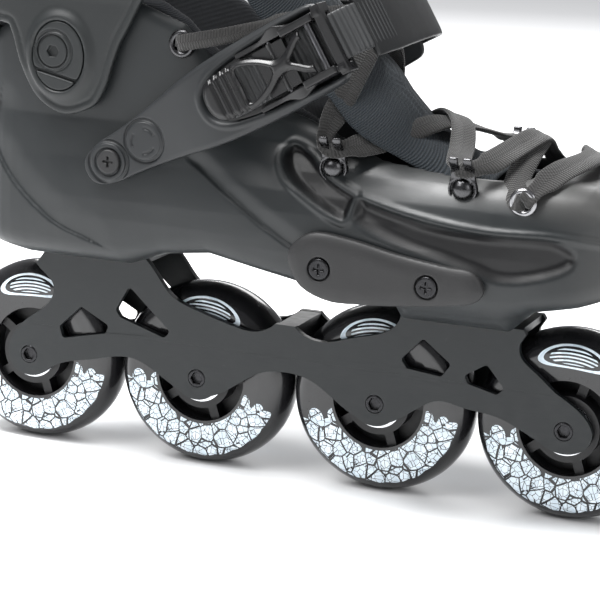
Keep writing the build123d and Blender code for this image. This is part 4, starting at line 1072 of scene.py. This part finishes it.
# Tray: a floor with flared cheeks, side blocks over the pin and a bridge over the ladder.
tray_axes = (spread(44, 110, fine), spread(45, 58, fine), spread(-17, 17, fine))
s = tray_axes[0][:, None, None]
h = tray_axes[1][None, :, None]
across = np.abs(tray_axes[2])[None, None, :]
floor_outline = np.array(both_ways([(46, 0), (46.5, 6), (50, 10), (60, 12), (75, 13), (106, 13.5),
    (107, 0)]))
floor_flat = outline_field(floor_outline, tray_axes[0], tray_axes[2])
floor_plate = plate(floor_flat, 46.0, np.full(floor_flat.shape, 48.0), tray_axes, 0.6)
flare = 12.8 + 2.6 * np.exp(-((s - 86) / 5.0) ** 2) * fade(h, 50, 54)
cheek_top = 52.2 + 3.4 * fade(s, 74, 88)
cheek = all_of(10.7 - across, across - flare, between(s, 66, 107), between(h, 46, cheek_top))
side_block = all_of(between(across, 9.6, 12.6), between(s, 89, 104), between(h, 50, 57.2))
bridge = all_of(np.abs(s - 106.5) - 1.9, across - 14.6, between(h, 46.0, 55.4))
ladder_slot = np.maximum(across - 10.6, between(h, 48.2, 51.6))
tray = soft_min(soft_min(floor_plate, cheek, 0.8), side_block, 0.5)
tray = soft_min(tray, bridge, 0.6)
tray = soft_max(tray, -ladder_slot, 0.3)
tray = soft_max(tray, 1.55 - np.hypot(s - pin_s, h - pin_h), 0.2)

strap_from = 106
roundness = 2.3


def closure_curve(outer, inner, apex, reach):
    """Half-round strap line in the (s, h) plane, from the outer side to the inner side."""
    rows = []
    for y in np.linspace(-outer, inner, 41):
        limit = outer if y < 0 else inner
        rise = (1 - abs(y / limit) ** roundness) ** (1 / roundness)
        rows.append((strap_from + (apex - strap_from) * rise, y))
    return np.array([(reach[0], -outer)] + rows + [(reach[1], inner)])


def flat_strap(line, half_widths, thickness, origin, angle, ribs=0.0):
    """Flat strap that follows an (s, y) line, with optional cross ribs on its outside."""
    ring_step, rib_pitch = 0.55, 2.4
    fine_line = []
    for (a, b), (c, d) in zip(line[:-1], line[1:]):
        count = max(int(math.hypot(c - a, d - b) / ring_step), 1)
        fine_line += [(a + (c - a) * i / count, b + (d - b) * i / count) for i in range(count)]
    fine_line = np.array(fine_line + [tuple(line[-1])])
    lengths = np.concatenate([[0], np.cumsum(np.hypot(*np.diff(fine_line, axis=0).T))])
    tangents = np.gradient(fine_line, axis=0)
    tangents /= np.hypot(*tangents.T)[:, None]
    shape_t, shape_h = pressed_circle(24, 0.25, 0.45)
    rings = []
    for (s, y), (tangent_s, tangent_y), run in zip(fine_line, tangents, lengths):
        half = np.interp(run / lengths[-1], *half_widths)
        rib = ribs * (0.5 + 0.5 * math.sin(run * 2 * math.pi / rib_pitch))
        depth = shape_h * (thickness / 2 + np.where(shape_h > 0, rib, 0))
        ring = np.stack((s + tangent_y * depth, y - tangent_s * depth, half * shape_t), 1)
        rings.append(on_strap(ring, origin, angle, side=1))
    return loft(rings)


band_rubber = moulded("band_plastic", (0.010, 0.0105, 0.011), 0.5, grain_mm=0.5, grain_depth=0.03)
tray_floor = 46.0
band_outer, band_inner = 49.2, 46.8


def closure(prefix, origin, angle, seat, body, lever, apex, tail):
    """Tray, lever, ladder and end band of one buckle, seated at a distance from the middle."""
    lift = seat - tray_floor
    tray_mesh = strap_mesh(tray, tray_axes, origin, angle, lift)
    add_piece(f"{prefix}_buckle_tray", tray_mesh, buckle_plastic, body, "buckle_plastic",
              f"{prefix}_buckle_base")
    lever_mesh = strap_mesh(lever_body, lever_axes, origin, angle, lift)
    add_piece(f"{prefix}_buckle_handle", lever_mesh, buckle_plastic, lever, "buckle_plastic",
              f"{prefix}_buckle_lever")
    line = closure_curve(band_outer + lift, band_inner + lift, apex, (54, strap_from - tail))
    ladder = flat_strap(line[:13], ((0, 1), (9.6, 9.6)), 1.5, origin, angle, 0.9)
    add_piece(f"{prefix}_ladder_strap", ladder, ladder_plastic, body, "ladder_plastic", f"{prefix}_ladder")
    band = flat_strap(line[5:], ((0, 0.12, 0.6, 1), (13.6, 14, 13, 10)), 2.6, origin, angle)
    add_piece(f"{prefix}_end_band", band, band_rubber, body, "ladder_plastic")


closure("instep", *instep, 46.0, "skate", "instep_lever", 120.8, 40)
closure("cuff", *cuff_closure, 47.1, "cuff_assembly", "cuff_lever", 130.8, 50)

# ---------------------------------------------------------------------------
# Lace hooks and eyelets.
# ---------------------------------------------------------------------------
hook_axes = (spread(-8, 8, 0.4), spread(-2, 10, 0.4), spread(-8, 15, 0.4))
u, h, v = hook_axes[0][:, None, None], hook_axes[1][None, :, None], hook_axes[2][None, None, :]
seat_ring = soft_max(np.hypot(u, v) - 6.0, between(h, -0.5, 2.4), 1.0)
seat_ring = soft_max(seat_ring, -np.maximum(np.hypot(u, v) - 4.9, 1.2 - h), 0.4)
dome = np.sqrt(u ** 2 + v ** 2 + ((h - 1.4) * 1.25) ** 2) - 4.4
neck = all_of(np.abs(u) - 5.2 + 0.12 * np.maximum(v - 3, 0), between(v, 3, 9.5),
              np.abs(h - 1.0 - 0.05 * v) - 1.0)
claw_line = 1.6 + 5.0 * fade(v, 5.5, 12.5)
claws = all_of(np.abs(np.abs(u) - 2.9) - 1.75, between(v, 5, 13.2), np.abs(h - claw_line) - 0.9)
hook_body = soft_min(soft_min(seat_ring, dome, 0.3), soft_min(neck, claws, 0.6), 0.5)
hooks = copies_at(skin(hook_body, hook_axes), [(26.0, 141.4, 35.2), (81.0, 138.9, 37.8)])
add_piece("hook_set", hooks, gunmetal, "skate", "hook_metal", "lace_hooks")


def eyelet_rings(place, y, radius, flat):
    """Rolled metal ring round an axis that runs across the boot, on both sides."""
    wire = 1.3
    x, z = place
    rings = []
    for turn in circle(40):
        reach = radius + wire * np.cos(circle(12))
        rings.append(np.stack((x + reach * math.cos(turn), y + flat * wire * np.sin(circle(12)),
                               z + reach * math.sin(turn)), 1))
    vertices, faces = loft(rings, closed=True)
    return both_sides((vertices, faces[:, ::-1]))


add_piece("rear_eyelet_rings", eyelet_rings(rear_eyelet, 39.9, 4.5, 0.8), gunmetal,
          "skate", "hook_metal", "eyelets")
add_piece("front_eyelet_rings", eyelet_rings(front_eyelet, 40.6, 4.4, 0.9), bright_ring,
          "skate", "hook_metal")

# ---------------------------------------------------------------------------
# Lace: one flat woven band, threaded through eyelets and hooks and crossed over the tongue.
# ---------------------------------------------------------------------------
# Stations of the lace: a point and the way the band faces there.
half_lace = [
    ((-40, 38, 186), (0, 1, 0)), ((-38, 44.5, 187), (0, 1, 0.1)),
    ((-20, 43.5, 191), (0, 1, 0.2)), ((0, 34, 196.5), (0.3, 0.8, 0.5)),
    ((14, 18, 199), (0.6, 0.4, 0.7)), ((24.8, 1, 196.3), (0.75, 0, 0.66)),
    ((31.5, -15, 189), (0.7, -0.5, 0.5)), ((29.5, -26.5, 177), (0.5, -0.8, 0.3)),
    ((24.3, -33.5, 162), (0.3, -0.95, 0.2)), ((22.3, -37.6, 153.5), (0.1, -1, 0.1)),
    ((24.2, -38.2, 149.6), (0, -1, 0)), ((28.2, -38.2, 149.2), (0, -1, 0)),
    ((33, -36, 150.4), (0, -0.95, 0.3)), ((41, -27, 152.0), (0.2, -0.8, 0.6)),
    ((50, -17, 155.8), (0.4, -0.5, 0.8)), ((59.5, -6, 158.9), (0.5, 0, 0.85)),
    ((68, 5, 156.6), (0.4, 0.3, 0.85)), ((74, 20, 152.6), (0.3, 0.6, 0.75)),
    ((77, 34, 149.5), (0.1, 0.95, 0.3)), ((79.3, 40.4, 147.2), (0, 1, 0.1)),
    ((84, 40.2, 147.2), (0, 1, 0.1)), ((90, 33, 149.6), (0.2, 0.9, 0.4)),
    ((95.5, 17, 153.4), (0.3, 0.5, 0.8)), ((99.5, 0, 154.6), (0.35, 0, 0.95)),
    ((99.8, -16, 150), (0.2, -0.7, 0.7)), ((99.8, -29, 143), (0.1, -0.95, 0.3)),
    ((101.5, -38.5, 137.6), (0, -1, 0.1)), ((104.5, -41.4, 136.4), (0, -1, 0)),
    ((106, -37, 136.5), (0, -1, 0))]
toe_lace = [
    ((106, -37, 136.5), (0, -1, 0)), ((107.2, -41.6, 137.4), (0, -1, 0)),
    ((110, -38.5, 141), (0.1, -0.95, 0.3)), ((115.5, -27, 146.6), (0.25, -0.7, 0.6)),
    ((120.5, -12, 149.6), (0.3, -0.3, 0.9)), ((122, 0, 150.4), (0.3, 0, 0.95)),
    ((120.5, 12, 149.6), (0.3, 0.3, 0.9)), ((115.5, 27, 146.6), (0.25, 0.7, 0.6)),
    ((110, 38.5, 141), (0.1, 0.95, 0.3)), ((107.2, 41.6, 137.4), (0, 1, 0)),
    ((106, 37, 136.5), (0, 1, 0))]
lace_width = 10.2
lace_thickness = 2.0


def unit(rows):
    return rows / np.linalg.norm(rows, axis=1)[:, None]


def band_along(stations, mirror=1, over=0.0):
    """Flat band through (point, facing) stations, with numbers along and across it."""
    points, facing = (np.array(rows, dtype=float) * (1, mirror, 1) for rows in zip(*stations))
    facing = unit(facing)
    middle = fade(16 - np.abs(points[:, 1]), 0, 12)[:, None]
    points = points + facing * over * middle
    path = curve_through(points, 9, closed=False)
    normals = curve_through(facing, 9, closed=False)
    tangents = unit(np.gradient(path, axis=0))
    normals = unit(normals - tangents * np.sum(normals * tangents, axis=1)[:, None])
    sideways = np.cross(tangents, normals)
    run = np.concatenate([[0], np.cumsum(np.linalg.norm(np.diff(path, axis=0), axis=1))])
    flat, thick = pressed_circle(20, 0.7, 0.7)
    narrow = 1 - 0.42 * fade(6 - run, 0, 6) - 0.42 * fade(run - run[-1] + 6, 0, 6)
    narrow = narrow * (1 - 0.34 * fade(np.abs(path[:, 1]), 33, 38))
    curl = 0.9 * np.sin(run * 0.09)[:, None] * flat ** 2
    groove = 0.25 * np.exp(-(flat / 0.14) ** 2) * (thick > 0)
    rings = (path[:, None]
             + sideways[:, None] * (flat * lace_width / 2)[None, :, None] * narrow[:, None, None]
             + normals[:, None] * (thick * lace_thickness / 2 + curl - groove)[:, :, None])
    across = np.broadcast_to(flat, rings.shape[:2]).ravel()
    along = np.broadcast_to(run[:, None], rings.shape[:2]).ravel()
    return loft(rings), across, along


lace_bands = [band_along(half_lace), band_along(half_lace, mirror=-1, over=2.4), band_along(toe_lace)]
lace_look = Nodes("lace_cord", (0.035, 0.033, 0.030), 0.9, sheen=0.2)
across_lace = lace_look.attribute("across")
along_lace = lace_look.attribute("along")
slope = lace_look.math("ABSOLUTE", across_lace)
slanted = lace_look.math("ADD", along_lace, lace_look.product(slope, 3.4))
chevron = lace_look.math("SINE", lace_look.product(slanted, 5.2))
cord_rows = lace_look.math("SINE", lace_look.product(across_lace, 22.0))
threads = lace_look.product(chevron, cord_rows)
seam = lace_look.span(slope, 0.02, 0.09, 1.0, 0.0)
tint = lace_look.mix(lace_look.span(threads, -1, 1, 0, 1), (0.004, 0.004, 0.004), (0.032, 0.031, 0.030))
tint = lace_look.mix(lace_look.product(seam, 0.75), tint, (0.010, 0.010, 0.010))
dust = lace_look.span(lace_look.noise(60, 4), 0.35, 0.7, 0, 0.35)
lace_look.color(lace_look.mix(dust, tint, (0.030, 0.029, 0.028)))
lace_look.bump(threads, 0.18)
lace_look.bump(lace_look.noise(3000, 3), 0.05)
lace_meshes, *lace_numbers = zip(*lace_bands)
lace_across, lace_along = (np.concatenate(values) for values in lace_numbers)
lace = build("flat_lace", *joined(lace_meshes), lace_look.material,
             {"across": lace_across, "along": lace_along})
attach(lace, "skate")
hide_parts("lace")
